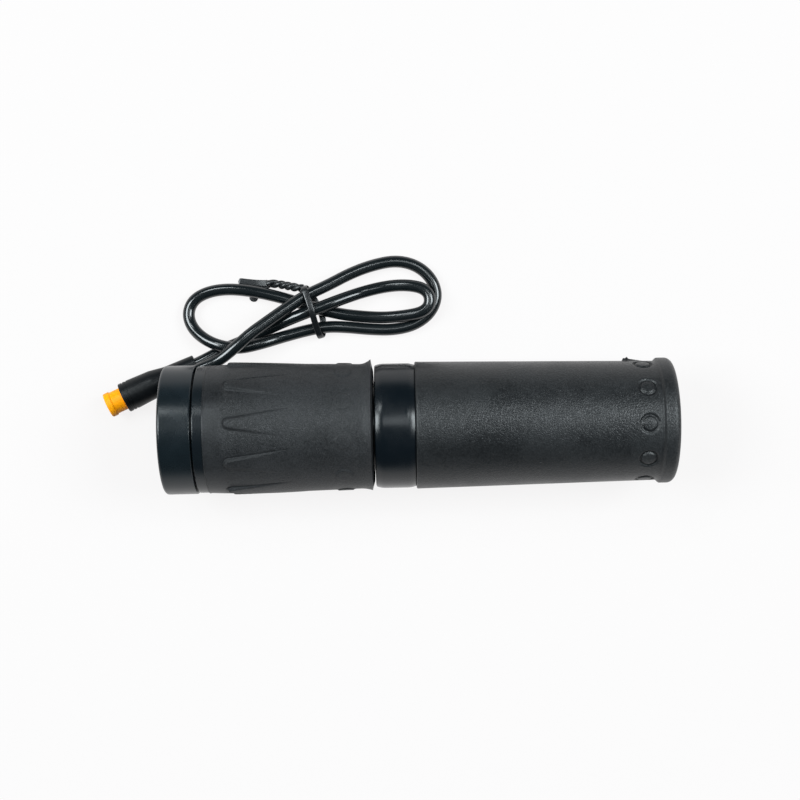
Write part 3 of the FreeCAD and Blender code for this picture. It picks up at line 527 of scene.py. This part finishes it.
def path_samples(corners, spacing):
    """Points along straight runs between corners, each run cut into steps of about its spacing."""
    parts = []
    for start, end, step in zip(corners[:-1], corners[1:], spacing):
        count = max(1, int(math.ceil(math.dist(start, end) / step)))
        share = np.linspace(0.0, 1.0, count, endpoint=False)[:, None]
        parts.append((1.0 - share) * np.array(start) + share * np.array(end))
    parts.append(np.array([corners[-1]]))
    return np.concatenate(parts)


# %% [markdown]
# The twist rubber carries the look of the throttle. Ten raised fingers start at round tips beside
# a smooth band, widen away from it and fade into the surface, with a row of small discs before a
# flared lip. Carving these one by one would be slow, so the radius is one formula of the place
# along the bar and the angle round it, and the whole sleeve is a single closed grid.

# %% Twist rubber
tube_low, tube_high = (Vector(c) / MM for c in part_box("twist_rubber"))
RUBBER_X = tube_low.x
RUBBER_END = tube_high.x
INNER_R = 15.2
FACE_EDGE_R = 15.5
BAND_R = 18.0
RAISED_R = 18.87
FADE_R = 17.80
WAIST_R = 17.42
LIP_R = 18.30
LIP_TILT = 0.42
LIP_WAVE = 0.08
BARREL_X = RUBBER_X + 5.9
FINGER_X = RUBBER_X + 5.8
FADE_X = RUBBER_X + 27.4
WAIST_X = RUBBER_END - 3.8
LIP_X = RUBBER_END - 0.7
FINGER_PITCH = math.radians(36.0)
FINGER_ANGLE = math.radians(84.4)
FINGER_TIP_R = 1.4
FINGER_SLOPE = math.radians(8.7)
FINGER_EDGE = 0.8
FOOT_DEPTH = 0.20
LINE_WIDTH = 0.16
LINE_FADE_X = FINGER_X + 11.0
LINE_END_X = FADE_X - 1.0
SHALLOW_SIDE = 0.9
SHALLOW_SPREAD = 0.8
FINGER_START_X = FINGER_X - 1.0
WALL_FADE = 4.0
WALL_WIDTH = FINGER_EDGE * 0.6
DISC_WALL = 0.7
DISC_WALL_WIDTH = 0.3
BAND_START_R = 17.75
BAND_START_X = RUBBER_X - 2.0
BAND_FADE_X = FINGER_X - 2.2
BAND_FADE_END = FINGER_X + 0.6
DISC_X = RUBBER_END - 8.1
DISC_R = 2.3
DISC_RISE = 0.28
DISC_TOP_EDGE = DISC_R - 0.25
DISC_FOOT_EDGE = DISC_R + 0.15
COLUMNS = 480
EDGE_BREAK = 0.2
LIP_HALF = 0.15
BEVEL_X = LIP_X + 0.1
DISC_ROWS_X = WAIST_X - 8.0
INNER_STEP = 1.0

profile = path_samples(
    [(RUBBER_X, INNER_R), (RUBBER_X, BAND_R - EDGE_BREAK), (RUBBER_X + EDGE_BREAK, BAND_R),
     (FADE_X, BAND_R), (DISC_ROWS_X, BAND_R), (WAIST_X, BAND_R), (LIP_X - LIP_HALF, BAND_R),
     (LIP_X + LIP_HALF, BAND_R), (RUBBER_END, FACE_EDGE_R), (RUBBER_END, INNER_R),
     (RUBBER_X + INNER_STEP, INNER_R)],
    [0.5, 0.1, 0.28, 0.4, 0.25, 0.25, 0.1, 0.3, 0.3, 4.0])
along = profile[:, :1]
around = np.linspace(0.0, 2.0 * math.pi, COLUMNS, endpoint=False)[None, :]
outer = np.isclose(profile[:, 1:], BAND_R)


def top_radius(x, angle):
    """Level barrel, a taper to the fingers' end, a slower one to the waist, then a parabolic flare."""
    body = np.interp(x, [BARREL_X, FADE_X, WAIST_X], [RAISED_R, FADE_R, WAIST_R])
    flare = np.clip((x - WAIST_X) / (LIP_X - WAIST_X), 0.0, 1.0)
    unevenness = 1.0 + LIP_TILT * np.cos(angle) + LIP_WAVE * np.sin(3.0 * angle)
    return body + (LIP_R - WAIST_R) * unevenness * flare ** 2


def finger_distance(x, angle):
    """Distance in mm outside the nearest finger: a round tip between two straight edges."""
    across = np.abs(turn_distance(angle, FINGER_ANGLE, FINGER_PITCH)) * RAISED_R
    forward = x - FINGER_X - FINGER_TIP_R
    to_edge = across * math.cos(FINGER_SLOPE) - forward * math.sin(FINGER_SLOPE)
    past_tip = forward * math.cos(FINGER_SLOPE) + across * math.sin(FINGER_SLOPE) < 0.0
    return np.where(past_tip, np.hypot(forward, across), to_edge) - FINGER_TIP_R


def finger_line(x, angle):
    """Strength of the thin groove at a finger's foot, whose shade is also painted into the colour:
    deeper and darker on one edge, fading before the finger ends.
    """
    away = finger_distance(x, angle)
    lasting = 1.0 - smoothstep(LINE_FADE_X, LINE_END_X, x)
    near = np.exp(-((away - FINGER_EDGE / 2) / LINE_WIDTH) ** 2)
    across = turn_distance(angle, FINGER_ANGLE, FINGER_PITCH) * RAISED_R
    deeper = 1.0 - SHALLOW_SIDE * smoothstep(-SHALLOW_SPREAD, SHALLOW_SPREAD, across)
    return lasting * near * deeper * (x > FINGER_START_X)


def disc_distance(x, angle):
    """Distance in mm from the middle of the nearest small disc."""
    across = turn_distance(angle, FINGER_ANGLE + FINGER_PITCH / 2, FINGER_PITCH) * WAIST_R
    return np.hypot(x - DISC_X, across)


def twist_wall(x, angle):
    """Strength 1 on the steep walls of the fingers and discs, where the mould leaves no sheen."""
    lasting = (x > FINGER_START_X) * (1.0 - smoothstep(FINGER_X + WALL_FADE, FADE_X - WALL_FADE, x))
    finger = lasting * np.exp(-(finger_distance(x, angle) / WALL_WIDTH) ** 2)
    disc = DISC_WALL * np.exp(-((disc_distance(x, angle) - DISC_R) / DISC_WALL_WIDTH) ** 2)
    return np.maximum(finger, disc)


def twist_radius(x, angle):
    """Sunk surface between the fingers, raised to the top on them, with a thin line at their foot."""
    top = top_radius(x, angle)
    rise = np.clip((x - FINGER_X) / (FADE_X - FINGER_X), 0.0, 1.0)
    band = BAND_START_R + (BAND_R - BAND_START_R) * smoothstep(BAND_START_X, FINGER_X, x)
    sunk = band + (top - band) * rise
    away = finger_distance(x, angle)
    on_finger = 1.0 - smoothstep(-FINGER_EDGE / 2, FINGER_EDGE / 2, away)
    foot = FOOT_DEPTH * finger_line(x, angle)
    disc = 1.0 - smoothstep(DISC_TOP_EDGE, DISC_FOOT_EDGE, disc_distance(x, angle))
    return sunk + (top - sunk) * on_finger - foot + DISC_RISE * disc


edge_share = np.clip((along - LIP_X) / (RUBBER_END - LIP_X), 0.0, 1.0)
lip_height = top_radius(LIP_X, around)
bevel = lip_height + (FACE_EDGE_R - lip_height) * edge_share
on_bevel = (along > BEVEL_X) & (along < RUBBER_END) & (profile[:, 1:] > INNER_R)
twist_r = np.where(outer, twist_radius(along, around), profile[:, 1:] + 0.0 * around)
twist_r = np.where(on_bevel, np.minimum(bevel, lip_height), twist_r)
smooth_band = 1.0 - smoothstep(BAND_FADE_X, BAND_FADE_END, along)
# Marks on the twist rubber: a smooth band, painted shade in the finger grooves, and dull walls.
twist_marks = {
    "smooth_band": smooth_band + 0.0 * around,
    "painted_groove_shade": np.where(outer, finger_line(along, around), 0.0),
    "moulded_wall": np.where(outer, twist_wall(along, around), 0.0),
}
twist_grip = grid_mesh("twist_grip_rubber", turned_points(along, twist_r, around), attributes=twist_marks)
twist_grip.data.materials.append(finishes["twist_rubber"])
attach(twist_grip, TWIST_BODY)
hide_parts("twist_rubber")
print("twist rubber faces:", len(twist_grip.data.polygons))

# %% [markdown]
# The outer grip is a tapered sleeve with a closed end. Ringed discs stand in a row before a rounded
# end flange, and a torn bit of moulding flash is left on its upper side. The same grid method
# makes it, with poles: one inside on the end wall and one outside on the end face.

# %% Outer grip rubber
grip_low, grip_high = (Vector(c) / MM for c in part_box("grip_rubber"))
GRIP_X = grip_low.x
GRIP_END = grip_high.x
GRIP_START_R = 17.75
GRIP_TAPER = 1.1
GRIP_INNER_R = 13.75
END_WALL_X = GRIP_END - 2.9
END_FLANGE_X = GRIP_END - 4.3
END_FLANGE_RISE = 0.85
END_ROUND = 1.9
END_DISC_X = GRIP_END - 8.5
END_DISC_R = 1.95
END_RING_R = 2.65
END_RING_DEPTH = 0.45
END_DISC_CROWN = 0.12
RING_EDGE = 0.1
RING_ROUND = 0.15
RING_LINE = 0.6
FLANGE_STEP_X = END_FLANGE_X - 0.6
FLANGE_TOP_X = END_FLANGE_X + 0.5
FLANGE_LINE_X = END_FLANGE_X - 0.2
FLANGE_LINE_WIDTH = 0.5
FLANGE_LINE = 0.5
END_DISC_ANGLE = math.radians(92.0)
END_DISC_PITCH = math.radians(36.0)
FLASH_ANGLE = math.radians(1.4)
FLASH_WIDTH = 0.5
FLASH_X = END_DISC_X - 5.0
FLASH_RISE = 0.4
FLASH_LENGTH = 5.8
FLASH_HEIGHT = 0.85
SPIKE_X = FLASH_X + 1.4
SPIKE_WIDTH = 0.28
SPIKE_HEIGHT = 0.5
GRIP_COLUMNS = 400
POLE_R = 0.4
GRIP_EDGE = 0.25
FINE_ROWS_X = END_DISC_X - 6.0
FACE_STEP = 4.5
FACE_SAG = 0.25
POLE_SAG = 0.3
ROUND_ROWS = 12


def grip_radius(x, angle):
    """Straight taper, a step up to the end flange, ringed discs and the bit of flash."""
    taper = np.clip((x - GRIP_X) / (END_FLANGE_X - GRIP_X), 0.0, 1.0)
    body = GRIP_START_R - GRIP_TAPER * taper
    flange = END_FLANGE_RISE * smoothstep(FLANGE_STEP_X, FLANGE_TOP_X, x)
    away = end_disc_distance(x, angle)
    crown = END_DISC_CROWN * np.clip(1.0 - (away / END_DISC_R) ** 2, 0.0, 1.0)
    return body + flange - END_RING_DEPTH * end_ring(away) + crown + flash_height(x, angle, body)


def end_disc_distance(x, angle):
    """Distance in mm from the middle of the nearest ringed disc."""
    across = turn_distance(angle, END_DISC_ANGLE, END_DISC_PITCH) * (GRIP_START_R - GRIP_TAPER)
    return np.hypot(x - END_DISC_X, across)


def end_ring(away):
    """Strength 1 in the groove round a disc, by the distance from the disc's middle."""
    inside = smoothstep(END_DISC_R - RING_ROUND, END_DISC_R + RING_EDGE, away)
    return inside * (1.0 - smoothstep(END_RING_R - RING_EDGE, END_RING_R + RING_ROUND, away))


def grip_groove_shade(x, angle):
    """Strength of the painted shade in the grooves round the discs and at the foot of the end flange."""
    foot = np.exp(-((x - FLANGE_LINE_X) / FLANGE_LINE_WIDTH) ** 2)
    return np.maximum(RING_LINE * end_ring(end_disc_distance(x, angle)), FLANGE_LINE * foot)


def flash_height(x, angle, radius):
    """A thin fin: steep at its inner end, one small spike, then a long slope down."""
    fall = np.clip((FLASH_X + FLASH_LENGTH - x) / (FLASH_LENGTH - FLASH_RISE), 0.0, 1.0)
    slope = smoothstep(FLASH_X, FLASH_X + FLASH_RISE, x) * fall
    spike = SPIKE_HEIGHT * np.exp(-((x - SPIKE_X) / SPIKE_WIDTH) ** 2)
    across = (turn_distance(angle, FLASH_ANGLE, 2.0 * math.pi) * radius) / FLASH_WIDTH
    return (FLASH_HEIGHT * slope + spike) * np.exp(-across ** 2)


grip_profile = path_samples(
    [(END_WALL_X, POLE_R), (END_WALL_X, GRIP_INNER_R), (GRIP_X, GRIP_INNER_R),
     (GRIP_X, GRIP_START_R - GRIP_EDGE), (GRIP_X + GRIP_EDGE, GRIP_START_R), (FINE_ROWS_X, GRIP_START_R),
     (GRIP_END - END_ROUND, GRIP_START_R)],
    [2.0, 6.0, 0.8, 0.12, 0.7, 0.2])
quarter = np.linspace(0.0, math.pi / 2, ROUND_ROWS)[1:]
rim_r = GRIP_START_R - GRIP_TAPER + END_FLANGE_RISE
rounding = np.stack([GRIP_END - END_ROUND + END_ROUND * np.sin(quarter),
                     rim_r - END_ROUND + END_ROUND * np.cos(quarter)], axis=-1)
face = path_samples([(GRIP_END, rim_r - END_ROUND), (GRIP_END - FACE_SAG, rim_r - FACE_STEP),
                     (GRIP_END - POLE_SAG, POLE_R)], [0.5, 1.0])[1:]
grip_profile = np.concatenate([grip_profile, rounding, face])
grip_along = grip_profile[:, :1]
grip_around = np.linspace(0.0, 2.0 * math.pi, GRIP_COLUMNS, endpoint=False)[None, :]
on_side = np.isclose(grip_profile[:, 1:], GRIP_START_R) & (grip_along < GRIP_END - END_ROUND + 0.01)
grip_r = np.where(on_side, grip_radius(grip_along, grip_around), grip_profile[:, 1:] + 0.0 * grip_around)
# The grip's mark is painted shade in the disc grooves and at the foot of the end flange.
grip_marks = {"painted_groove_shade": np.where(on_side, grip_groove_shade(grip_along, grip_around), 0.0)}
grip_points = turned_points(grip_along, grip_r, grip_around)
outer_grip = grid_mesh("outer_grip_rubber", grip_points, poles=True, attributes=grip_marks)
outer_grip.data.materials.append(finishes["grip_rubber"])
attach(outer_grip, FIXED_BODY)
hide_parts("grip_rubber")
print("outer grip faces:", len(outer_grip.data.polygons))

# %% [markdown]
# A plastic tie holds the lead's loops. It is a flat strip that goes once round the bundle, is twisted
# on itself into a short two-strand tail, and ends in two flat tips. Each part is a section carried
# along a smooth path, and the two strands of the tail are helices about one line.

# %% Twist tie
def smooth_path(points, closed=False):
    """Points in millimetres along a NURBS line through the given control points."""
    guide = nurbs_line("guide", points, closed)
    line = line_points(guide) / MM
    bpy.data.objects.remove(guide)
    return line


def swept_points(line, side, section, widening=1.0):
    """Carries a flat section along a line: line + side * across + up * height, times a widening."""
    ahead = np.gradient(line, axis=0)
    ahead /= np.linalg.norm(ahead, axis=1, keepdims=True)
    side = side - ahead * (side * ahead).sum(axis=1, keepdims=True)
    side /= np.linalg.norm(side, axis=1, keepdims=True)
    up = np.cross(ahead, side)
    carried = side[:, None] * section[None, :, :1] + up[:, None] * section[None, :, 1:]
    return line[:, None] + carried * widening


def oval_section(width, height, power=2.0, corners=16):
    """An oval whose power makes it round at 2 and squarer above: |x|^p + |y|^p = 1."""
    turn = np.linspace(0.0, 2.0 * math.pi, corners, endpoint=False)
    x = np.sign(np.cos(turn)) * np.abs(np.cos(turn)) ** (2.0 / power)
    y = np.sign(np.sin(turn)) * np.abs(np.sin(turn)) ** (2.0 / power)
    return np.stack([x * width / 2, y * height / 2], axis=-1)


TIE_LOOP = [
    (38.3, 40.6, -16.4), (38.4, 40.5, -13.4), (38.8, 39.7, -10.6), (39.5, 37.8, -10.2),
    (40.4, 35.0, -9.9), (41.1, 32.4, -10.0), (41.6, 30.2, -11.7), (42.2, 28.0, -13.4),
    (42.9, 26.0, -15.0), (43.3, 25.7, -17.6), (43.6, 27.2, -18.5), (43.9, 31.0, -18.5),
    (42.2, 35.5, -18.5), (39.8, 39.6, -18.45), (38.5, 40.8, -18.0),
]
TIE_TAIL = [
    (38.3, 39.9, -13.8), (36.1, 40.35, -14.6), (33.4, 41.0, -15.6), (30.6, 41.65, -16.6),
    (27.9, 41.9, -17.5),
]
TIE_TIPS = [
    [(28.2, 41.9, -17.8), (25.8, 42.0, -18.2), (22.6, 42.3, -18.4), (19.2, 42.8, -18.35)],
    [(28.0, 41.9, -18.0), (26.4, 41.1, -18.45), (24.4, 39.8, -18.45), (23.1, 36.8, -18.45)],
]
TIE_WIDTH = 1.8
TIE_THICKNESS = 0.55
TAIL_STRAND = 1.3
TAIL_TURNS = 2.3
STRAND_FLATNESS = 1.2
TIP_WIDTHS = (2.0, 2.6)
TIP_POWERS = (60.0, 30.0)
TIP_NARROWEST = 0.02
TIP_SQUARENESS = 4.0
LOOP_SQUARENESS = 3.0
LOOP_SIDE = np.array([0.96, 0.28, 0.0])

UPWARD = np.array([0.0, 0.0, 1.0])
tie_pieces = []
loop_line = smooth_path(TIE_LOOP, closed=True)
loop_side = np.broadcast_to(LOOP_SIDE, loop_line.shape)
wrapped = np.concatenate([loop_line[-2:], loop_line, loop_line[:2]])
wrapped_side = np.concatenate([loop_side[-2:], loop_side, loop_side[:2]])
loop_section = oval_section(TIE_WIDTH, TIE_THICKNESS, LOOP_SQUARENESS)
loop_points = swept_points(wrapped, wrapped_side, loop_section)[2:-2]
tie_pieces.append(grid_mesh("tie_loop", loop_points))

tail_line = smooth_path(TIE_TAIL)
share = np.linspace(0.0, 1.0, len(tail_line))[:, None]
tail_ahead = np.gradient(tail_line, axis=0)
tail_ahead /= np.linalg.norm(tail_ahead, axis=1, keepdims=True)
tail_side = np.cross(tail_ahead, UPWARD)
tail_up = np.cross(tail_side, tail_ahead)
for i in range(2):
    phase = 2.0 * math.pi * TAIL_TURNS * share + math.pi * i
    strand_side = tail_side * np.cos(phase) + tail_up * np.sin(phase)
    strand = tail_line + TAIL_STRAND / 2 * strand_side
    section = oval_section(TAIL_STRAND, TAIL_STRAND * STRAND_FLATNESS)
    strand_points = swept_points(strand, strand_side, section)
    tie_pieces.append(grid_mesh(f"tie_strand_{i + 1}", strand_points, poles=True))
for i, tip in enumerate(TIE_TIPS):
    tip_line = smooth_path(tip)
    tip_side = np.cross(np.gradient(tip_line, axis=0), UPWARD)
    section = oval_section(TIP_WIDTHS[i], TIE_THICKNESS, TIP_SQUARENESS)
    tip_share = np.linspace(0.0, 1.0, len(tip_line))[:, None, None]
    narrowing = np.sqrt(np.clip(1.0 - tip_share ** TIP_POWERS[i], TIP_NARROWEST, 1.0))
    tip_points = swept_points(tip_line, tip_side, section, narrowing)
    tie_pieces.append(grid_mesh(f"tie_tip_{i + 1}", tip_points, poles=True))
for piece in tie_pieces:
    piece.data.materials.append(finishes["tie_black"])
    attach(piece, FIXED_BODY)
    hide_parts("twist_tie")
print("tie pieces:", [piece.name for piece in tie_pieces])

# %% [markdown]
# The rigid parts come from the CAD frame with their true shape. Their imported triangles are loose,
# so a highlight would show each facet. Nearly all of these parts are turned, so the true normal at a
# corner is known: each face keeps its slope along the axis, carried round to the corner's own angle.
# Averaging these by area where faces meet at a blunt angle shows the moulded rounds as they are.

# %% Smooth copies of the visible rigid parts
SHARP_EDGE = math.radians(30.0)
TURNED_LIMIT = 0.08
MERGE_DISTANCE = 2e-6


def turned_normals(mesh, centre, axis):
    """Corner normals of a turned mesh: axis * slope + outward * the rest, averaged by area.

    A face counts as turned if its normal has almost no part along the turning. Other faces keep
    their own normal. Faces that meet at more than the sharp angle aren't averaged.
    """
    co = np.empty(len(mesh.vertices) * 3)
    mesh.vertices.foreach_get("co", co)
    co = co.reshape(-1, 3) - centre
    corner = np.empty(len(mesh.loops), dtype=np.int32)
    mesh.loops.foreach_get("vertex_index", corner)
    outward = co - axis * (co @ axis)[:, None]
    outward /= np.maximum(np.linalg.norm(outward, axis=1, keepdims=True), 1e-9)
    first, second, third = (co[corner[i::3]] for i in range(3))
    normal = np.cross(second - first, third - first)
    area = np.linalg.norm(normal, axis=1, keepdims=True)
    normal /= np.maximum(area, 1e-15)
    middle = outward[corner].reshape(-1, 3, 3).mean(axis=1)
    slope = normal @ axis
    rest = np.sqrt(np.clip(1.0 - slope ** 2, 0.0, 1.0)) * np.sign((normal * middle).sum(axis=1))
    is_turned = np.abs((normal * np.cross(axis, middle)).sum(axis=1)) < TURNED_LIMIT
    carried = axis * np.repeat(slope, 3)[:, None] + outward[corner] * np.repeat(rest, 3)[:, None]
    carried = np.where(np.repeat(is_turned, 3)[:, None], carried, np.repeat(normal, 3, axis=0))
    order = np.argsort(corner, kind="stable")
    counts = np.bincount(corner, minlength=len(co))
    starts = np.concatenate([[0], np.cumsum(counts)[:-1]])
    sizes = counts[corner]
    mine = np.repeat(np.arange(len(corner)), sizes)
    within = np.arange(len(mine)) - np.repeat(np.cumsum(sizes) - sizes, sizes)
    other = order[np.repeat(starts[corner], sizes) + within]
    blunt = (carried[mine] * carried[other]).sum(axis=1) > math.cos(SHARP_EDGE)
    weighted = carried[other] * (np.repeat(area, 3, axis=0)[other] * blunt[:, None])
    total = np.stack([np.bincount(mine, weighted[:, i], len(corner)) for i in range(3)], axis=-1)
    return total / np.maximum(np.linalg.norm(total, axis=1, keepdims=True), 1e-15)


def merged_copy(node, name):
    """A smooth-shaded copy of a CAD node's mesh, with its loose triangles joined at their corners."""
    mesh = nodes[node].data.copy()
    mesh.name = name
    mesh.materials.clear()
    shell = bmesh.new()
    shell.from_mesh(mesh)
    bmesh.ops.remove_doubles(shell, verts=shell.verts, dist=MERGE_DISTANCE)
    shell.to_mesh(mesh)
    shell.free()
    mesh.shade_smooth()
    return mesh


def smooth_copy(node, name, body, slot, centre=(0.0, 0.0, 0.0), axis=(1.0, 0.0, 0.0)):
    """Copies a CAD node, gives it turned normals, and stands it for the node on its body."""
    mesh = merged_copy(node, name)
    mesh.normals_split_custom_set(turned_normals(mesh, np.array(centre), np.array(axis)).tolist())
    made = place_object(name, mesh)
    made.data.materials.append(finishes[slot])
    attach(made, body)
    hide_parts(node)
    return made


plug_line = {"centre": BOOT_END * MM, "axis": (NOSE_TIP - BOOT_END).normalized()}
housing = smooth_copy("throttle_housing", "housing_shell", FIXED_BODY, "housing_plastic")
flange_ring = smooth_copy("twist_tube", "twist_ring", TWIST_BODY, "twist_plastic")
collar = smooth_copy("grip_sleeve", "grip_collar", FIXED_BODY, "gloss_collar")
plug_shell = smooth_copy("connector_body", "plug_shell", FIXED_BODY, "connector_black", **plug_line)
plug_insert = smooth_copy("connector_insert", "plug_insert", FIXED_BODY, "connector_orange", **plug_line)
print("smooth copies:", [o.name for o in (housing, flange_ring, collar, plug_shell, plug_insert)])

# %% [markdown]
# The return spring has one leg in the housing and one in the turning tube. Its copy is a merged,
# smooth-shaded mesh with a steel finish, and it stays rigid, so it would cut through the tube as
# the grip turns.

# %% Return spring
spring_steel = metal_material("spring steel", (0.42, 0.42, 0.43), (0.50, 0.50, 0.50), 0.28, 0.40)
return_coil = place_object("return_coil", merged_copy("return_spring", "return_coil"))
return_coil.data.materials.append(spring_steel)
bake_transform(return_coil)
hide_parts("return_spring")

# %% [markdown]
# The other pieces inside keep their CAD shapes and get their own finishes: dark steel, brass, a green
# board and coloured wires. They show in other views, at the bore and at the connector's face.

# %% Finishes of the inner pieces
GROMMET_BLACK = ((0.006, 0.006, 0.007), (0.010, 0.010, 0.010), 0.5, 0.62, 0.00001)
SEAL_GREY = ((0.05, 0.05, 0.05), (0.07, 0.07, 0.07), 0.5, 0.6, 0.00001)
inner_finishes = {
    "cable_grommet": plastic_material("grommet rubber", *GROMMET_BLACK),
    "connector_seal": plastic_material("seal rubber", *SEAL_GREY),
    "set_screw": metal_material("black screw steel", (0.06, 0.06, 0.06), (0.10, 0.10, 0.10), 0.35, 0.50),
    "screw_insert": metal_material("insert brass", (0.66, 0.45, 0.16), (0.72, 0.52, 0.22), 0.30, 0.42),
    "retaining_ring": metal_material("ring steel", (0.30, 0.30, 0.31), (0.38, 0.38, 0.38), 0.30, 0.42),
    "thrust_washer": plastic_material(
        "washer plastic", (0.55, 0.53, 0.48), (0.62, 0.60, 0.55), 0.4, 0.5, 0.00001),
    "sensor_board": plastic_material(
        "board green", (0.01, 0.12, 0.04), (0.02, 0.16, 0.06), 0.35, 0.45, 0.00001),
    "hall_sensor": plastic_material(
        "sensor black", (0.010, 0.010, 0.011), (0.016, 0.016, 0.017), 0.45, 0.55, 0.00001),
}
magnet_finish = metal_material("magnet plate", (0.52, 0.50, 0.47), (0.60, 0.58, 0.55), 0.22, 0.34)
contact_finish = metal_material("contact brass", (0.75, 0.55, 0.22), (0.80, 0.62, 0.30), 0.20, 0.32)
wire_colours = {"red": (0.55, 0.02, 0.015), "black": (0.010, 0.010, 0.010), "green": (0.02, 0.22, 0.04)}
for i in range(2):
    inner_finishes[f"magnet_{i + 1}"] = magnet_finish
for i in range(3):
    inner_finishes[f"contact_{i + 1}"] = contact_finish
for i, (colour_name, colour) in enumerate(wire_colours.items()):
    brighter = tuple(1.2 * c for c in colour)
    wire_finish = plastic_material(f"wire {colour_name}", colour, brighter, 0.35, 0.45, 0.000005)
    inner_finishes[f"lead_wire_{i + 1}"] = wire_finish
for node_name, finish in inner_finishes.items():
    nodes[node_name].data.materials.clear()
    nodes[node_name].data.materials.append(finish)
print("inner finishes:", len(inner_finishes))

# %% [markdown]
# The connector, its seal and contacts, and the tie pieces are gathered in a list of the pieces that sit
# on the lead.

on_lead = [plug_shell, plug_insert, nodes["connector_seal"], *tie_pieces]
on_lead += [nodes[f"contact_{i + 1}"] for i in range(3)]

# %% [markdown]
# The object lies on a plain white surface under broad soft light. Two large panels to its sides give
# most of it and put thin highlights on the rounded edges, a panel overhead adds the band along the
# grips, and two small lamps at the back draw bright lines on the lead. To the camera the floor glows
# near white, but it throws less light back, so that dark rubber stays dark.

# %% Floor and light
FLOOR_SIZE = 4.0
FLOOR_GAP = 0.00002
FLOOR_GREY = (0.42, 0.42, 0.42, 1.0)
SHADOW_GREY = (0.075, 0.073, 0.072, 1.0)
GLOW_WHITE = (1.0, 0.99, 0.99, 1.0)
GLOW_STRENGTH = 0.86
floor_mesh = bpy.data.meshes.new("floor")
half = FLOOR_SIZE / 2
floor_z = cad_low[2] - FLOOR_GAP
floor_mesh.from_pydata([(-half, -half, floor_z), (half, -half, floor_z), (half, half, floor_z),
                        (-half, half, floor_z)], [], [(0, 1, 2, 3)])
floor = place_object("floor", floor_mesh)
floor_material, floor_tree, floor_shader = new_material("white floor")
floor_shader.inputs["Base Color"].default_value = FLOOR_GREY
floor_shader.inputs["Roughness"].default_value = 0.9
floor_shader.inputs["Specular IOR Level"].default_value = 0.1
seen = new_node(floor_tree, "ShaderNodeLightPath")
by_eye = math_node(floor_tree, "MAXIMUM", seen.outputs["Is Camera Ray"], seen.outputs["Is Glossy Ray"])
by_eye = math_node(floor_tree, "MAXIMUM", by_eye, seen.outputs["Is Transmission Ray"])
shadowed = new_node(floor_tree, "ShaderNodeBsdfDiffuse")
shadowed.inputs["Color"].default_value = SHADOW_GREY
glow = new_node(floor_tree, "ShaderNodeEmission", Strength=GLOW_STRENGTH)
glow.inputs["Color"].default_value = GLOW_WHITE
bright = floor_tree.nodes.new("ShaderNodeAddShader")
floor_tree.links.new(shadowed.outputs[0], bright.inputs[0])
floor_tree.links.new(glow.outputs[0], bright.inputs[1])
choice = floor_tree.nodes.new("ShaderNodeMixShader")
floor_tree.links.new(by_eye, choice.inputs[0])
floor_tree.links.new(floor_shader.outputs[0], choice.inputs[1])
floor_tree.links.new(bright.outputs[0], choice.inputs[2])
floor_tree.links.new(choice.outputs[0], floor_tree.nodes["Material Output"].inputs["Surface"])
floor_mesh.materials.append(floor_material)


COOL_WHITE = (0.89, 0.97, 1.0)


def soft_panel(name, place, target, size, power):
    """A square area lamp, sized in metres and powered in watts, turned towards a target."""
    lamp = bpy.data.lights.new(name, "AREA")
    lamp.shape = "SQUARE"
    lamp.size = size
    lamp.energy = power
    lamp.color = COOL_WHITE
    made = place_object(name, lamp)
    made.location = place
    made.rotation_euler = (Vector(target) - Vector(place)).to_track_quat("-Z", "Y").to_euler()


LIT_POINT = (0.06, 0.01, 0.0)
HORIZON_LOW = 0.02
HORIZON_HIGH = 0.23
HORIZON_GLOW = 0.58
SKY_GLOW = 0.10
soft_panel("left_panel", (-0.62, 0.17, 0.82), LIT_POINT, 0.5, 12.0)
soft_panel("right_panel", (0.74, 0.17, 0.82), LIT_POINT, 0.5, 12.0)
soft_panel("overhead", (0.125, 0.19, 1.2), LIT_POINT, 0.3, 0.95)
soft_panel("back_corner", (-0.25, 0.54, 0.79), LIT_POINT, 0.17, 1.3)
soft_panel("back_spot", (0.276, 0.376, 1.01), LIT_POINT, 0.12, 0.7)
world = bpy.data.worlds.new("world")
bpy.context.scene.world = world
world.use_nodes = True
sky = world.node_tree
way = new_node(sky, "ShaderNodeSeparateXYZ")
sky.links.new(sky.nodes.new("ShaderNodeTexCoord").outputs["Generated"], way.inputs[0])
backdrop = sky.nodes["Background"]
backdrop.inputs["Color"].default_value = (*COOL_WHITE, 1.0)
glow_by_height = ramp(sky, way.outputs["Z"], HORIZON_LOW, HORIZON_HIGH, HORIZON_GLOW, SKY_GLOW)
sky.links.new(glow_by_height, backdrop.inputs["Strength"])
bpy.context.scene.view_settings.view_transform = "Standard"
print("lamps:", len(bpy.data.lights))
